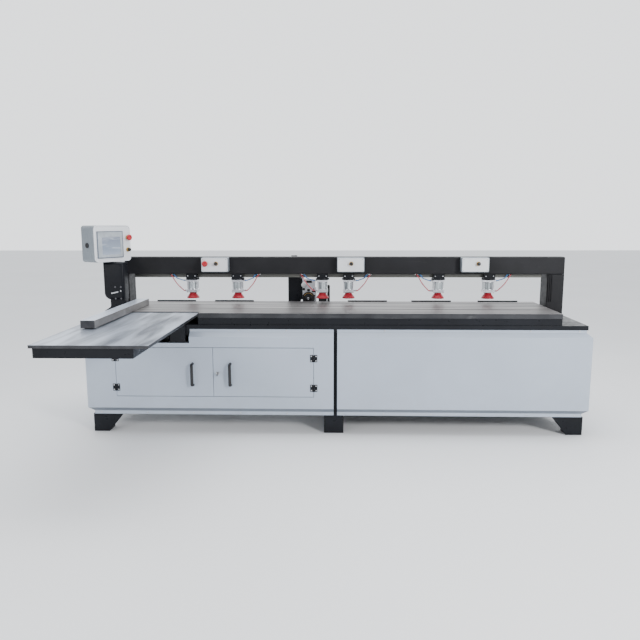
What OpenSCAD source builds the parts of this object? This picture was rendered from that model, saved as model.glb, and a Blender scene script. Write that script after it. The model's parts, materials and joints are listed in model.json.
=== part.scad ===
// Panel drilling and dowelling machine: a long table on a two-module base, a clamp gantry over the
// table, a drill head that travels behind it, a side table with a fence, and a swivelling console.
// Machine coordinates: X along the table from the joint of the two modules, Y back from the face of
// the front covers, Z up from the floor. Every part is moved by machine_shift to the row's origin.

/* [Base] */
// Length of the welded base frame
base_length = 3600; // [3560:10:3640]
// Depth of the welded base frame
base_depth = 930; // [930:10:960]
// Clearance under the base
base_bottom = 138; // [130:1:150]
// Height of the base cabinet
base_height = 646; // [640:1:660]
// How far the covers stand proud of the frame
cover_raise = 35; // [30:1:38]
// Thickness of the cover and door sheet
sheet = 2; // [1.5:0.5:2.5]
// Width of the joint between the two base modules
module_gap = 26; // [20:1:30]
// Section of the frame tube
tube = 50; // [40:5:60]

/* [Doors] */
// Left edge of the door opening
door_left = -1614; // [-1620:1:-1600]
// Right edge of the door opening
door_right = -156; // [-170:1:-150]
// Bottom edge of the door opening
door_bottom = 284; // [270:1:300]
// Top edge of the door opening
door_top = 653; // [640:1:660]
// Gap round each door
door_gap = 3; // [2:0.5:4]

/* [Table] */
// Thickness of the bed plate
bed_thick = 32; // [28:1:36]
// Height of the bars between the bed plate and the table
bar_height = 50; // [40:1:60]
// Thickness of the table slab
slab_thick = 35; // [30:1:40]
// Length of the table slab
slab_length = 3244; // [3200:2:3250]
// Back edge of the table slab
slab_back = 727; // [722:1:732]

/* [Gantry] */
// Front face of the columns and of the beam
gantry_front = 550; // [545:1:560]
// Height of the clamp beam's underside
beam_bottom = 1143; // [1130:1:1160]
// Height of the clamp beam itself
beam_height = 135; // [120:1:150]
// Depth of the clamp beam
beam_depth = 100; // [90:1:110]
// Width of each column
column_width = 132; // [120:1:136]

/* [Clamps] */
// Places of the clamps along the beam
clamp_places = [-1163, -795, -109, 101, 819, 1218];
// Radius of the rubber cup's lip
cup_radius = 51; // [46:1:53]
// Bore radius of a clamp cylinder
clamp_bore = 34; // [30:1:35]
// Radius of a clamp rod
clamp_rod = 10; // [8:1:12]

/* [Console] */
// Width of the console housing
hmi_width = 342; // [320:1:350]
// Height of the console housing
hmi_height = 275; // [260:1:290]
// Depth of the console housing
hmi_depth = 148; // [130:1:150]
// Angle that the screen is turned from straight ahead
hmi_turn = 60; // [40:1:70]

/* [Side table] */
// Width of the side table plate
side_width = 660; // [640:1:680]
// How far the side table reaches in front of the covers
side_reach = 1146; // [1100:1:1160]
// Thickness of the side table plate
side_thick = 18; // [15:1:20]

/* [Hidden] */
$fn = 48;
eps = 0.5;
// Gap kept between pieces that are welded or bolted but stay separate solids
seam = 0.2;

// Colours
cover_blue = [0.70, 0.74, 0.78];
black_paint = [0.14, 0.14, 0.16];
charcoal = [0.20, 0.20, 0.21];
table_grey = [0.62, 0.61, 0.61];
bright_steel = [0.78, 0.81, 0.86];
silver = [0.75, 0.77, 0.79];
clamp_red = [0.75, 0.12, 0.15];
hose_blue = [0.15, 0.40, 0.80];
brass = [0.75, 0.60, 0.30];

// Base levels and outline
base_top = base_bottom + base_height;
frame_front = cover_raise;
frame_back = frame_front + base_depth;
cover_back = frame_back + cover_raise;
cover_half = base_length / 2 + cover_raise;
strip_low = 26;
strip_high = 20;
bevel_rise = 32;
sheet_mitre = sheet * 0.4;
notch_left = -1640;
notch_right = -1064;
notch_bottom = 686;
screw_first = 356;
screw_pitch = 348;

// Table levels
bed_top = base_top + bed_thick;
slab_bottom = bed_top + bar_height;
table_top = slab_bottom + slab_thick;
slab_half = slab_length / 2;
bed_front = 30;
bed_half = 1809;

// Side table
side_top = table_top - 5;
side_left = -1662;
side_right = side_left + side_width;
side_back = 88;
fence_left = -1583;
fence_right = -1492;
fence_bottom = table_top + 1;
fence_top = 951;

// Gantry
beam_top = beam_bottom + beam_height;
beam_left = -1700;
column_outer = slab_half + 178;
beam_right = column_outer;
clamp_y = 600;
rail_low = 1111;
rail_notch = 1130;

// Clamp cylinder levels
cup_bottom = 944;
cup_top = 990;
cap_low = 995;
barrel_low = 1015;
barrel_high = 1080;
mount_low = 1096;

// Doors
door_split = -893;
door_depth = 18;
hinge_levels = [353, 575];
hinge_axis_y = -5.5;
hinge_height = 53;
knuckle_radius = 5;
pin_radius = 2.5;
running_gap = 0.05;
hinge_left_x = door_left + door_gap / 2;
hinge_right_x = door_right - door_gap / 2;
handle_low = 367;
handle_high = 538;
handle_reach = 38;
lock_x = -860;
lock_z = 461;
lock_radius = 9;

// Console
hmi_x = -1767;
hmi_y = 355;
hmi_bottom = 1255;
hmi_corner = 14;
hmi_plate = 6;
post_left = -1786;
post_right = -1624;
post_front = 300;
post_back = 400;

// Button boxes
box_places = [-959, 116, 1088];
box_width = 215;
box_height = 116;
box_depth = 62;
box_bottom = beam_top - box_height;
lid_depth = 8;
box_front = gantry_front - box_depth - lid_depth;
button_level = 1229;

// Drill head
head_rail_y = [790, 910];
carriage_left = -410;
carriage_right = -45;
carriage_low = 846;
carriage_high = 866;
column_left = -405;
column_right = -305;
spindle_x = -232;
spindle_z = 921;
spindle_radius = 36;
spindle_shaft = 9;
shank_radius = 5;

// Centre of the whole machine, which becomes the origin
hmi_left = hmi_x - (hmi_width / 2 - hmi_corner) * cos(hmi_turn)
  - (hmi_depth / 2 - hmi_corner) * sin(hmi_turn) - hmi_corner;
machine_shift = [-(hmi_left + cover_half) / 2, -(cover_back - side_reach) / 2, 0];

// ---- helpers ----

// A box from its low corner to its high corner
module block(low, high) {
  translate(low)
    cube(high - low);
}

// A rod from one point to another along an axis
module rod_x(at, length, radius) {
  translate(at)
    rotate([0, 90, 0])
      cylinder(h = length, r = radius);
}

module rod_y(at, length, radius) {
  translate(at)
    rotate([-90, 0, 0])
      cylinder(h = length, r = radius);
}

module rod_z(at, length, radius) {
  translate(at)
    cylinder(h = length, r = radius);
}

// An outline in X and Z pushed back along Y
module push_back(front, depth) {
  translate([0, front + depth, 0])
    rotate([90, 0, 0])
      linear_extrude(height = depth)
        children();
}

// An outline in X and Z with its corners cut off
module cut_corner_outline(width, height, cut) {
  polygon([
    [-width / 2 + cut, 0], [width / 2 - cut, 0], [width / 2, cut], [width / 2, height - cut],
    [width / 2 - cut, height], [-width / 2 + cut, height], [-width / 2, height - cut],
    [-width / 2, cut],
  ]);
}

// A thin tube along a list of points
function unit(v) = v / norm(v);
function point_direction(points, i) =
  i == 0 ? unit(points[1] - points[0])
  : i == len(points) - 1 ? unit(points[i] - points[i - 1])
  : unit(unit(points[i + 1] - points[i]) + unit(points[i] - points[i - 1]));
function side_of(d) = unit(cross(d, abs(d[1]) > 0.9 ? [1, 0, 0] : [0, 1, 0]));
function ring(centre, d, radius, sides) =
  let (a = side_of(d), b = cross(d, a))
  [for (k = [0 : sides - 1]) centre + radius * (cos(360 * k / sides) * a + sin(360 * k / sides) * b)];

module tube_along(points, radius) {
  sides = 8;
  rings = len(points);
  corners = [
    for (i = [0 : rings - 1])
      each ring(points[i], point_direction(points, i), radius, sides)
  ];
  walls = [
    for (i = [0 : rings - 2], k = [0 : sides - 1])
      [i * sides + k, (i + 1) * sides + k, (i + 1) * sides + (k + 1) % sides, i * sides + (k + 1) % sides]
  ];
  polyhedron(
    points = corners,
    faces = concat(
      [[for (k = [0 : sides - 1]) k]],
      walls,
      [[for (k = [0 : sides - 1]) (rings - 1) * sides + sides - 1 - k]]
    )
  );
}

// ---- base ----

// Places of the frame posts along one module, as positive distances from the joint
frame_half = base_length / 2 - sheet;
post_places = [module_gap / 2, base_length / 4, frame_half - tube];

module frame_posts() {
  color(black_paint)
    for (side = [-1, 1], x = post_places, y = [frame_front + sheet, frame_back - sheet - tube])
      translate([side > 0 ? x : -x - tube, y, base_bottom + tube])
        cube([tube, tube, base_height - 2 * tube]);
  joint = module_gap / 2 - seam;
  strip_y = frame_front + sheet + 10;
  color(black_paint)
    block([-joint, strip_y, base_bottom], [joint, strip_y + 4, base_top - seam]);
}

module frame_rails() {
  inner = module_gap / 2;
  run = frame_half - inner;
  back = frame_back - sheet - tube;
  color(black_paint)
    for (side = [-1, 1], z = [base_bottom, base_top - tube]) {
      for (y = [frame_front + sheet, back])
        translate([side > 0 ? inner : -inner - run, y, z])
          cube([run, tube, tube]);
      for (x = post_places)
        translate([side > 0 ? x : -x - tube, frame_front + sheet + tube + seam, z])
          cube([tube, base_depth - 2 * sheet - 2 * tube - 2 * seam, tube]);
    }
}

leg = 116;
leg_wall = 8;
foot_plate = 12;
anchor_radius = 9;
gusset_reach = 112;
gusset_thick = 12;

// A hollow leg on a drilled sole plate
module leg_tube(x, y, width) {
  difference() {
    block([x - width / 2, y - leg / 2, 0], [x + width / 2, y + leg / 2, base_bottom]);
    block(
      [x - width / 2 + leg_wall, y - leg / 2 + leg_wall, foot_plate],
      [x + width / 2 - leg_wall, y + leg / 2 - leg_wall, base_bottom + eps]
    );
    rod_z([x, y, -eps], foot_plate + 2 * eps, anchor_radius);
  }
}

foot_x = 1755;
middle_leg = 146;
middle_leg_x = -12;
foot_front = frame_front + leg / 2 + 6;
foot_back = frame_back - leg / 2 - 6;

module feet() {
  color(black_paint) {
    for (y = [foot_front, foot_back]) {
      leg_tube(middle_leg_x, y, middle_leg);
      for (side = [-1, 1])
        union() {
          leg_tube(side * foot_x, y, leg);
          push_back(y - leg / 2, gusset_thick)
            polygon([
              [side * (foot_x - leg / 2), 2],
              [side * (foot_x - leg / 2), base_bottom],
              [side * (foot_x - leg / 2 - gusset_reach), base_bottom],
            ]);
        }
    }
  }
}

// Section of a raised cover: first value is the distance in from its face, second is the height
function cover_outer() = [
  [cover_raise, base_bottom],
  [cover_raise, base_bottom + strip_low],
  [0, base_bottom + strip_low + bevel_rise],
  [0, base_top - strip_high - bevel_rise],
  [cover_raise, base_top - strip_high],
  [cover_raise, base_top],
];
function cover_inner() = [
  [cover_raise + sheet, base_top],
  [cover_raise + sheet, base_top - strip_high - sheet_mitre],
  [sheet, base_top - strip_high - bevel_rise - sheet_mitre],
  [sheet, base_bottom + strip_low + bevel_rise + sheet_mitre],
  [cover_raise + sheet, base_bottom + strip_low + sheet_mitre],
  [cover_raise + sheet, base_bottom],
];

module cover_section() {
  polygon(concat(cover_outer(), cover_inner()));
}

// Everything beyond a vertical plane through a point, on the side that the angle points to
module beyond(at, angle) {
  reach = 400;
  translate([at[0], at[1], base_bottom - eps])
    rotate([0, 0, angle])
      translate([0, -reach / 2, 0])
        cube([reach, reach, base_height + 2 * eps]);
}

// A long cover for one module, on the front, drawn for the right-hand module
module long_cover() {
  difference() {
    translate([module_gap / 2, 0, 0])
      rotate([90, 0, 90])
        linear_extrude(height = cover_half - module_gap / 2)
          cover_section();
    beyond([cover_half, 0], 45);
  }
  translate([module_gap / 2, 0, 0])
    rotate([90, 0, 90])
      linear_extrude(height = sheet)
        polygon(cover_outer());
}

module front_cover_right() {
  color(cover_blue)
    union()
      long_cover();
}

door_frame_depth = 20;

module front_cover_left() {
  color(cover_blue)
    difference() {
      union() {
        mirror([1, 0, 0])
          long_cover();
        block(
          [door_left - sheet, 0, door_bottom - sheet],
          [door_right + sheet, door_frame_depth, door_top + sheet]
        );
      }
      block([door_left, -eps, door_bottom], [door_right, door_frame_depth + eps, door_top]);
      block([notch_left, -eps, notch_bottom], [notch_right, frame_front + sheet + eps, base_top + eps]);
    }
}

module end_cover() {
  difference() {
    translate([cover_half, 0, 0])
      mirror([1, 0, 0])
        translate([0, cover_back, 0])
          rotate([90, 0, 0])
            linear_extrude(height = cover_back)
              cover_section();
    beyond([cover_half, 0], 225);
    beyond([cover_half, cover_back], 135);
  }
}

module end_covers() {
  color(cover_blue) {
    end_cover();
    mirror([1, 0, 0])
      end_cover();
  }
}

module rear_covers() {
  color(cover_blue)
    translate([0, cover_back, 0])
      mirror([0, 1, 0]) {
        long_cover();
        mirror([1, 0, 0])
          long_cover();
      }
}

module cover_screws() {
  head = 3;
  color(bright_steel)
    for (k = [0 : 4], side = [-1, 1]) {
      x = side * (screw_first + screw_pitch * k);
      low = base_bottom + strip_low / 2;
      high = base_top - strip_high / 2;
      in_notch = x > notch_left && x < notch_right;
      for (z = in_notch ? [low] : [low, high])
        rod_y([x, frame_front - head, z], head, 6);
      for (z = [low, high])
        rod_y([x, frame_back, z], head, 6);
    }
}

// ---- doors ----

// A door pan with folded edges
module door_pan(left, right) {
  low = door_bottom + door_gap;
  high = door_top - door_gap;
  difference() {
    block([left, 0, low], [right, door_depth, high]);
    block([left + sheet, sheet, low + sheet], [right - sheet, door_depth + eps, high - sheet]);
  }
}

module left_door() {
  color(cover_blue)
    door_pan(door_left + door_gap, door_split - door_gap / 2);
}

module right_door() {
  color(cover_blue)
    difference() {
      door_pan(door_split + door_gap / 2, door_right - door_gap);
      rod_y([lock_x, -eps, lock_z], sheet + 2 * eps, lock_radius + running_gap);
    }
}

// One hinge leaf: side is the direction it lies in, levels are its knuckles' low and high ends
module hinge_leaf(x, z, side, knuckles) {
  reach = 26;
  root = 5.6;
  thick = 3;
  difference() {
    union() {
      block(
        [side > 0 ? x + root : x - reach, -thick, z - hinge_height / 2],
        [side > 0 ? x + reach : x - root, 0, z + hinge_height / 2]
      );
      for (k = knuckles) {
        rod_z([x, hinge_axis_y, z + k[0]], k[1] - k[0], knuckle_radius);
        block(
          [side > 0 ? x + 1 : x - root - eps, -thick, z + k[0]],
          [side > 0 ? x + root + eps : x - 1, -0.6, z + k[1]]
        );
      }
    }
    rod_z([x, hinge_axis_y, z - hinge_height], 2 * hinge_height, pin_radius + running_gap);
  }
}

frame_knuckles = [[-hinge_height / 2, -9], [9, hinge_height / 2]];
door_knuckles = [[-8.5, 8.5]];

module door_hinges() {
  color(black_paint)
    for (z = hinge_levels) {
      hinge_leaf(hinge_left_x, z, -1, frame_knuckles);
      hinge_leaf(hinge_right_x, z, 1, frame_knuckles);
    }
}

module left_door_leaves() {
  color(black_paint)
    for (z = hinge_levels)
      hinge_leaf(hinge_left_x, z, 1, door_knuckles);
}

module right_door_leaves() {
  color(black_paint)
    for (z = hinge_levels)
      hinge_leaf(hinge_right_x, z, -1, door_knuckles);
}

module hinge_pins() {
  color(bright_steel)
    for (z = hinge_levels, x = [hinge_left_x, hinge_right_x])
      rod_z([x, hinge_axis_y, z - hinge_height / 2 - 1], hinge_height + 2, pin_radius);
}

// A bow handle: a bar on two legs, with round corners
module bow_handle(x) {
  bar = 6;
  rod_z([x, -handle_reach, handle_low + bar], handle_high - handle_low - 2 * bar, bar);
  for (z = [handle_low + bar, handle_high - bar]) {
    translate([x, -handle_reach, z])
      sphere(r = bar);
    rod_y([x, -handle_reach, z], handle_reach, bar);
    rod_y([x, -4, z], 4, 10);
  }
}

module left_door_handle() {
  color(black_paint)
    union()
      bow_handle(-1043);
}

module right_door_handle() {
  color(black_paint)
    union()
      bow_handle(-766);
}

module door_lock() {
  color(bright_steel)
    union() {
      rod_y([lock_x, -5, lock_z], 4.5, 13);
      rod_y([lock_x, -5, lock_z], 26, lock_radius);
      block([lock_x - 8, 21, lock_z - 8], [lock_x + 8, 24, lock_z + 27]);
    }
}

// ---- inside the left module ----

module cabinet_equipment() {
  plate_y = 640;
  left = -1500;
  right = -560;
  floor_z = base_bottom + tube;
  front = plate_y - seam;
  color(bright_steel) {
    block([-frame_half + tube + 1, 88, floor_z], [-module_gap / 2 - tube - 1, 912, floor_z + 3]);
    block([left, plate_y, 260], [right, plate_y + 3, 700]);
    for (x = [left, right - 30])
      block([x, plate_y + 3 + seam, floor_z + 3 + seam], [x + 30, plate_y + 33, 720]);
  }
  color(charcoal)
    for (k = [0 : 3])
      block([left + 60 + 150 * k, plate_y - 170, 470], [left + 160 + 150 * k, front, 660]);
  color(silver) {
    for (k = [0 : 7])
      block([left + 60 + 55 * k, plate_y - 80, 310], [left + 105 + 55 * k, front, 400]);
    block([right - 260, plate_y - 140, 300], [right - 60, front, 420]);
  }
  color(table_grey)
    for (z = [270, 420])
      block([left + 20, plate_y - 60, z], [right - 300, front, z + 30]);
}

// ---- bed and table ----

module bed_plate() {
  color(black_paint)
    block([-bed_half, bed_front, base_top], [bed_half, frame_back + 5, bed_top]);
}

module bed_bars() {
  bar_width = 60;
  bars = 5;
  first = bed_front + 4;
  step = (slab_back - 4 - bar_width - first) / (bars - 1);
  color(black_paint)
    for (k = [0 : bars - 1]) {
      start = k == 0 ? side_right + 1 : -slab_half;
      block([start, first + step * k, bed_top], [slab_half, first + step * k + bar_width, slab_bottom]);
    }
}

module worktable() {
  color(table_grey)
    difference() {
      block([-slab_half, bed_front, slab_bottom], [slab_half, slab_back, table_top]);
      block(
        [-slab_half - eps, bed_front - eps, slab_bottom - eps],
        [side_right + 1, side_back + 1, table_top + eps]
      );
    }
}

module rear_stops() {
  starts = [-1494, -1009, 97, 622, 1165];
  length = 325;
  color(black_paint)
    for (x = starts)
      block([x, slab_back - 16, table_top], [x + length, slab_back - 4, table_top + 10]);
}

// ---- gantry ----

module gantry_columns() {
  depth = 160;
  rib = 6;
  color(charcoal)
    for (side = [-1, 1]) {
      left = side > 0 ? column_outer - column_width : -column_outer;
      inner = side > 0 ? left : left + column_width - 46;
      union() {
        block([left, gantry_front, bed_top], [left + column_width, gantry_front + depth, beam_bottom]);
        for (k = [0 : 2])
          block(
            [inner + 6 + 14 * k, gantry_front - rib, table_top + 25],
            [inner + 12 + 14 * k, gantry_front + 1, beam_bottom - 4]
          );
      }
    }
}

module gantry_beam() {
  wall = 8;
  color(charcoal)
    difference() {
      block([beam_left, gantry_front, beam_bottom], [beam_right, gantry_front + beam_depth, beam_top]);
      block(
        [beam_left + wall, gantry_front + wall, beam_bottom + wall],
        [beam_right - wall, gantry_front + beam_depth - wall, beam_top - wall]
      );
    }
}

// The rail lies under the beam, with a notch for each hose
module cylinder_rail() {
  half = slab_half + 18;
  notch = 8;
  color(table_grey)
    difference() {
      block([-half, clamp_y + 5, rail_low], [half, clamp_y + 35, beam_bottom - seam]);
      for (n = [0 : len(clamp_places) - 1], reach = [blue_reach, red_reach]) {
        x = clamp_places[n] + hose_sides[n] * reach;
        block([x - notch, clamp_y, rail_notch], [x + notch, clamp_y + 40, beam_bottom]);
      }
    }
}

// ---- clamps ----

module clamp_mounts() {
  half = 44;
  gap = 0.2;
  color(black_paint)
    for (x = clamp_places) {
      difference() {
        block([x - half, clamp_y - 42, mount_low + 10], [x + half, clamp_y + 46, beam_bottom]);
        block(
          [x - half - eps, clamp_y + 5 - gap, rail_low - gap],
          [x + half + eps, clamp_y + 35 + gap, beam_bottom + eps]
        );
      }
      rod_z([x, clamp_y, mount_low - 2], 12, 54);
    }
}

cap_half = 43;

// A cylinder: square end caps, a round barrel with its bore, and four tie rods
module clamp_cylinders() {
  cap = cap_half;
  tie = 36;
  top_cap = mount_low - 2 - barrel_high;
  for (x = clamp_places) {
    color(silver)
      difference() {
        block([x - cap, clamp_y - cap, cap_low], [x + cap, clamp_y + cap, barrel_low]);
        rod_z([x, clamp_y, cap_low - eps], barrel_low - cap_low + 2 * eps, clamp_rod + running_gap);
      }
    color(silver)
      difference() {
        rod_z([x, clamp_y, barrel_low], barrel_high - barrel_low, clamp_bore + 3);
        rod_z([x, clamp_y, barrel_low - eps], barrel_high - barrel_low + 2 * eps, clamp_bore);
      }
    color(silver)
      block([x - cap, clamp_y - cap, barrel_high], [x + cap, clamp_y + cap, barrel_high + top_cap]);
    color(bright_steel)
      for (a = [-1, 1], b = [-1, 1]) {
        rod_z([x + a * tie, clamp_y + b * tie, barrel_low], barrel_high - barrel_low, 3);
        rod_z([x + a * tie, clamp_y + b * tie, cap_low - 4], 4, 5.5);
      }
  }
}

piston_low = 1064;
socket_low = 976;

module clamp_foot(n) {
  x = clamp_places[n - 1];
  color(bright_steel)
    union() {
      rod_z([x, clamp_y, socket_low + seam], piston_low - socket_low - seam, clamp_rod);
      rod_z([x, clamp_y, piston_low], 14, clamp_bore - 0.4);
    }
  color(clamp_red)
    translate([x, clamp_y, 0])
      rotate_extrude()
        polygon([
          [0, cup_bottom + 6], [cup_radius - 12, cup_bottom + 6], [cup_radius - 8, cup_bottom],
          [cup_radius - 2, cup_bottom], [cup_radius, cup_bottom + 3], [cup_radius - 1, cup_bottom + 9],
          [32, cup_top - 12], [28, cup_top - 8], [28, cup_top], [clamp_rod + running_gap, cup_top],
          [clamp_rod + running_gap, socket_low], [0, socket_low],
        ]);
}

module clamp_foot_1() {
  clamp_foot(1);
}

module clamp_foot_2() {
  clamp_foot(2);
}

module clamp_foot_3() {
  clamp_foot(3);
}

module clamp_foot_4() {
  clamp_foot(4);
}

module clamp_foot_5() {
  clamp_foot(5);
}

module clamp_foot_6() {
  clamp_foot(6);
}

// Air supply: a fitting high and low on each cylinder, and two manifold bars behind the beam
hose_sides = [-1, 1, -1, 1, -1, 1];
blue_level = 1087;
red_level = 1005;
blue_bar = 1190;
red_bar = 1240;
blue_reach = 155;
red_reach = 175;
bar_back = gantry_front + beam_depth;
bar_size = 26;
bar_half = 1400;
elbow = 22;
nipple = 16;
hose_radius = 4;
hose_gap_z = (rail_notch + beam_bottom) / 2;

module air_fittings() {
  cap = cap_half;
  color(bright_steel)
    for (z = [blue_bar, red_bar])
      block([-bar_half, bar_back, z], [bar_half, bar_back + bar_size, z + bar_size]);
  color(silver)
    for (n = [0 : len(clamp_places) - 1]) {
      x = clamp_places[n];
      side = hose_sides[n];
      for (z = [blue_level, red_level])
        rod_x([side > 0 ? x + cap : x - cap - elbow, clamp_y, z], elbow, 6);
      rod_y([x + side * blue_reach, bar_back + bar_size, blue_bar + bar_size / 2], nipple, 6);
      rod_y([x + side * red_reach, bar_back + bar_size, red_bar + bar_size / 2], nipple, 6);
    }
}

// Route of a hose: out of its elbow, over the clamp rail, and up behind the beam to its bar
function hose_points(x, side, low, high, reach) =
  let (
    start = x + side * (cap_half + elbow + seam),
    end_x = x + side * reach,
    rise = hose_gap_z - low,
    behind = bar_back + bar_size + nipple + seam
  )
  [
    [start, clamp_y, low],
    [start + side * 8, clamp_y, low],
    [start + side * 30, clamp_y - 6, low + 0.16 * rise],
    [start + side * 62, clamp_y - 14, low + 0.44 * rise],
    [end_x - side * 14, clamp_y - 16, low + 0.86 * rise],
    [end_x, clamp_y - 4, hose_gap_z],
    [end_x, clamp_y + 42, hose_gap_z],
    [end_x, behind + 14, hose_gap_z + 16],
    [end_x, behind + 24, (hose_gap_z + high) / 2],
    [end_x, behind + 18, high - 8],
    [end_x, behind + 8, high],
    [end_x, behind, high],
  ];

module hoses(low, high, reach) {
  for (n = [0 : len(clamp_places) - 1])
    tube_along(hose_points(clamp_places[n], hose_sides[n], low, high, reach), hose_radius);
}

module red_hoses() {
  color(clamp_red)
    hoses(red_level, red_bar + bar_size / 2, red_reach);
}

module blue_hoses() {
  color(hose_blue)
    hoses(blue_level, blue_bar + bar_size / 2, blue_reach);
}

// ---- push buttons ----

button_travel = 5;
stem_radius = 8;
collar_radius = 17;
collar_height = 12;

// A button whose base rests on a face at front, pointing forward along -Y
module push_button(x, front, z, cap_radius, cap_height) {
  cap_back = front - collar_height - button_travel - 1;
  union() {
    rod_y([x, cap_back - cap_height, z], cap_height, cap_radius);
    rod_y([x, cap_back - eps, z], collar_height + button_travel + 14, stem_radius - running_gap);
  }
}

module button_collar(x, front, z) {
  difference() {
    rod_y([x, front - collar_height, z], collar_height, collar_radius);
    rod_y([x, front - collar_height - eps, z], collar_height + 2 * eps, stem_radius);
  }
}

box_buttons = [[-1031, 0], [-947, 0], [120, 1], [1110, 2]];

module button_boxes() {
  cut = 8;
  wall = 3;
  color(silver)
    for (x = box_places) {
      difference() {
        translate([x, 0, box_bottom])
          push_back(box_front + lid_depth, box_depth)
            cut_corner_outline(box_width, box_height, cut);
        block(
          [x - box_width / 2 + 12, box_front, box_bottom + 12],
          [x + box_width / 2 - 12, gantry_front - wall, beam_top - 12]
        );
      }
    }
  color(silver)
    difference() {
      for (x = box_places)
        translate([x, 0, box_bottom + 5])
          push_back(box_front, lid_depth)
            cut_corner_outline(box_width - 10, box_height - 10, cut);
      for (b = box_buttons)
        rod_y([b[0], box_front - eps, button_level], lid_depth + 2 * eps, stem_radius);
    }
  color(brass)
    for (b = box_buttons)
      button_collar(b[0], box_front, button_level);
}

module box_estop() {
  color(clamp_red)
    push_button(box_buttons[0][0], box_front, button_level, 23, 15);
}

module box_button_1() {
  color(black_paint)
    push_button(box_buttons[1][0], box_front, button_level, 13, 9);
}

module box_button_2() {
  color(black_paint)
    push_button(box_buttons[2][0], box_front, button_level, 13, 9);
}

module box_button_3() {
  color(black_paint)
    push_button(box_buttons[3][0], box_front, button_level, 13, 9);
}

// ---- console ----

// Console coordinates: X across the screen, Y back, Z up from the floor
module on_console() {
  translate([hmi_x, hmi_y, 0])
    rotate([0, 0, hmi_turn])
      children();
}

hmi_button_x = 140;
hmi_estop_level = hmi_bottom + 182;
hmi_button_level = hmi_bottom + 88;
hmi_face = -hmi_depth / 2;
swivel_radius = 30;

module hmi_housing() {
  wall = 4;
  color(bright_steel)
    on_console()
      difference() {
        union() {
          translate([0, 0, hmi_bottom])
            linear_extrude(height = hmi_height)
              round_plan(0);
          rod_z([0, 0, hmi_bottom - 4], 5, swivel_radius + 16);
        }
        translate([0, 0, hmi_bottom + wall])
          linear_extrude(height = hmi_height - 2 * wall)
            round_plan(wall);
        block(
          [-hmi_width / 2 + 12, hmi_face - eps, hmi_bottom + 12],
          [hmi_width / 2 - 12, hmi_face + wall + eps, hmi_bottom + hmi_height - 12]
        );
        rod_z([0, 0, hmi_bottom - 15], 30, swivel_radius + running_gap);
      }
}

// Plan of the housing with its corners rounded, made smaller by a wall
module round_plan(wall) {
  x = hmi_width / 2 - hmi_corner;
  y = hmi_depth / 2 - hmi_corner;
  r = hmi_corner - wall;
  for (a = [-1, 1], b = [-1, 1])
    translate([a * x, b * y])
      circle(r = r);
  square([2 * x, 2 * (y + r)], center = true);
  square([2 * (x + r), 2 * y], center = true);
}

module hmi_front() {
  wall = 4;
  edge = 14;
  color(silver)
    on_console()
      difference() {
        block(
          [-hmi_width / 2 + edge, hmi_face - hmi_plate, hmi_bottom + 6],
          [hmi_width / 2 - edge, hmi_face, hmi_bottom + hmi_height - 6]
        );
        for (z = [hmi_estop_level, hmi_button_level])
          rod_y([hmi_button_x, hmi_face - hmi_plate - eps, z], wall + hmi_plate, stem_radius);
      }
  color(brass)
    on_console()
      for (z = [hmi_estop_level, hmi_button_level])
        button_collar(hmi_button_x, hmi_face - hmi_plate, z);
}

module hmi_screen() {
  color(table_grey)
    on_console()
      block(
        [-152, hmi_face - hmi_plate - 6, hmi_bottom + 22],
        [94, hmi_face - hmi_plate, hmi_bottom + 222]
      );
}

module hmi_estop() {
  color(clamp_red)
    on_console()
      push_button(hmi_button_x, hmi_face - hmi_plate, hmi_estop_level, 23, 15);
}

module hmi_button() {
  color(black_paint)
    on_console()
      push_button(hmi_button_x, hmi_face - hmi_plate, hmi_button_level, 13, 9);
}

// The post under the console: a housing, a neck and a flared foot, with the swivel pin on top
module console_post() {
  body_low = 962;
  bend = 45;
  neck_left = -1741;
  foot_left = -1790;
  color(black_paint)
    union() {
      push_back(post_front, post_back - post_front)
        union() {
          translate([post_left + bend, body_low + bend])
            circle(r = bend);
          translate([post_left, body_low + bend])
            square([post_right - post_left, hmi_bottom - 6 - body_low - bend]);
          translate([post_left + bend, body_low])
            square([post_right - post_left - bend, bend + 1]);
        }
      block([neck_left, post_front + 12, bed_top], [post_right, post_back - 12, body_low + 1]);
      push_back(post_front + 12, post_back - post_front - 24)
        polygon([
          [foot_left, bed_top], [neck_left + 1, bed_top], [neck_left + 1, bed_top + 92],
          [foot_left, bed_top + 60],
        ]);
      rod_z([hmi_x, hmi_y, hmi_bottom - 17], 27, swivel_radius);
    }
  color(bright_steel)
    for (x = [-1745, -1700], z = [980, 1045])
      rod_y([x, post_front - 3, z], 3, 7);
}

// ---- side table ----

module side_plate() {
  color(bright_steel)
    block([side_left, -side_reach, side_top - side_thick], [side_right, side_back, side_top]);
}

frame_left = side_left + 18;
frame_right = side_right - 85;
side_frame_low = side_top - side_thick - 56;
arm_low = notch_bottom + 4;
arm_high = base_top - tube - 2;

module side_frame() {
  bar = 50;
  front = -side_reach + 8;
  back = bed_front - 1;
  color(black_paint)
    union() {
      for (x = [frame_left, frame_right - bar])
        block([x, front, side_frame_low], [x + bar, back, side_top - side_thick]);
      for (y = [front, (front + back) / 2, back - bar])
        block([frame_left, y, side_frame_low], [frame_right, y + bar, side_top - side_thick]);
    }
  arm_front = 3;
  color(black_paint)
    for (x = [frame_left + 10, frame_right - 115])
      union() {
        block([x, arm_front, arm_low], [x + 110, 300, arm_high]);
        block([x, arm_front, arm_low], [x + 110, bed_front - 3, side_frame_low - seam]);
      }
}

module side_fence() {
  front = -637;
  back = 480;
  color(bright_steel)
    block([fence_left, front, fence_bottom], [fence_right, back, fence_top]);
  color(black_paint)
    for (y = [front + 40, -300, side_back - 60])
      block([fence_left + 10, y, side_top], [fence_right - 10, y + 40, fence_bottom]);
}

// ---- drill head ----

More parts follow.
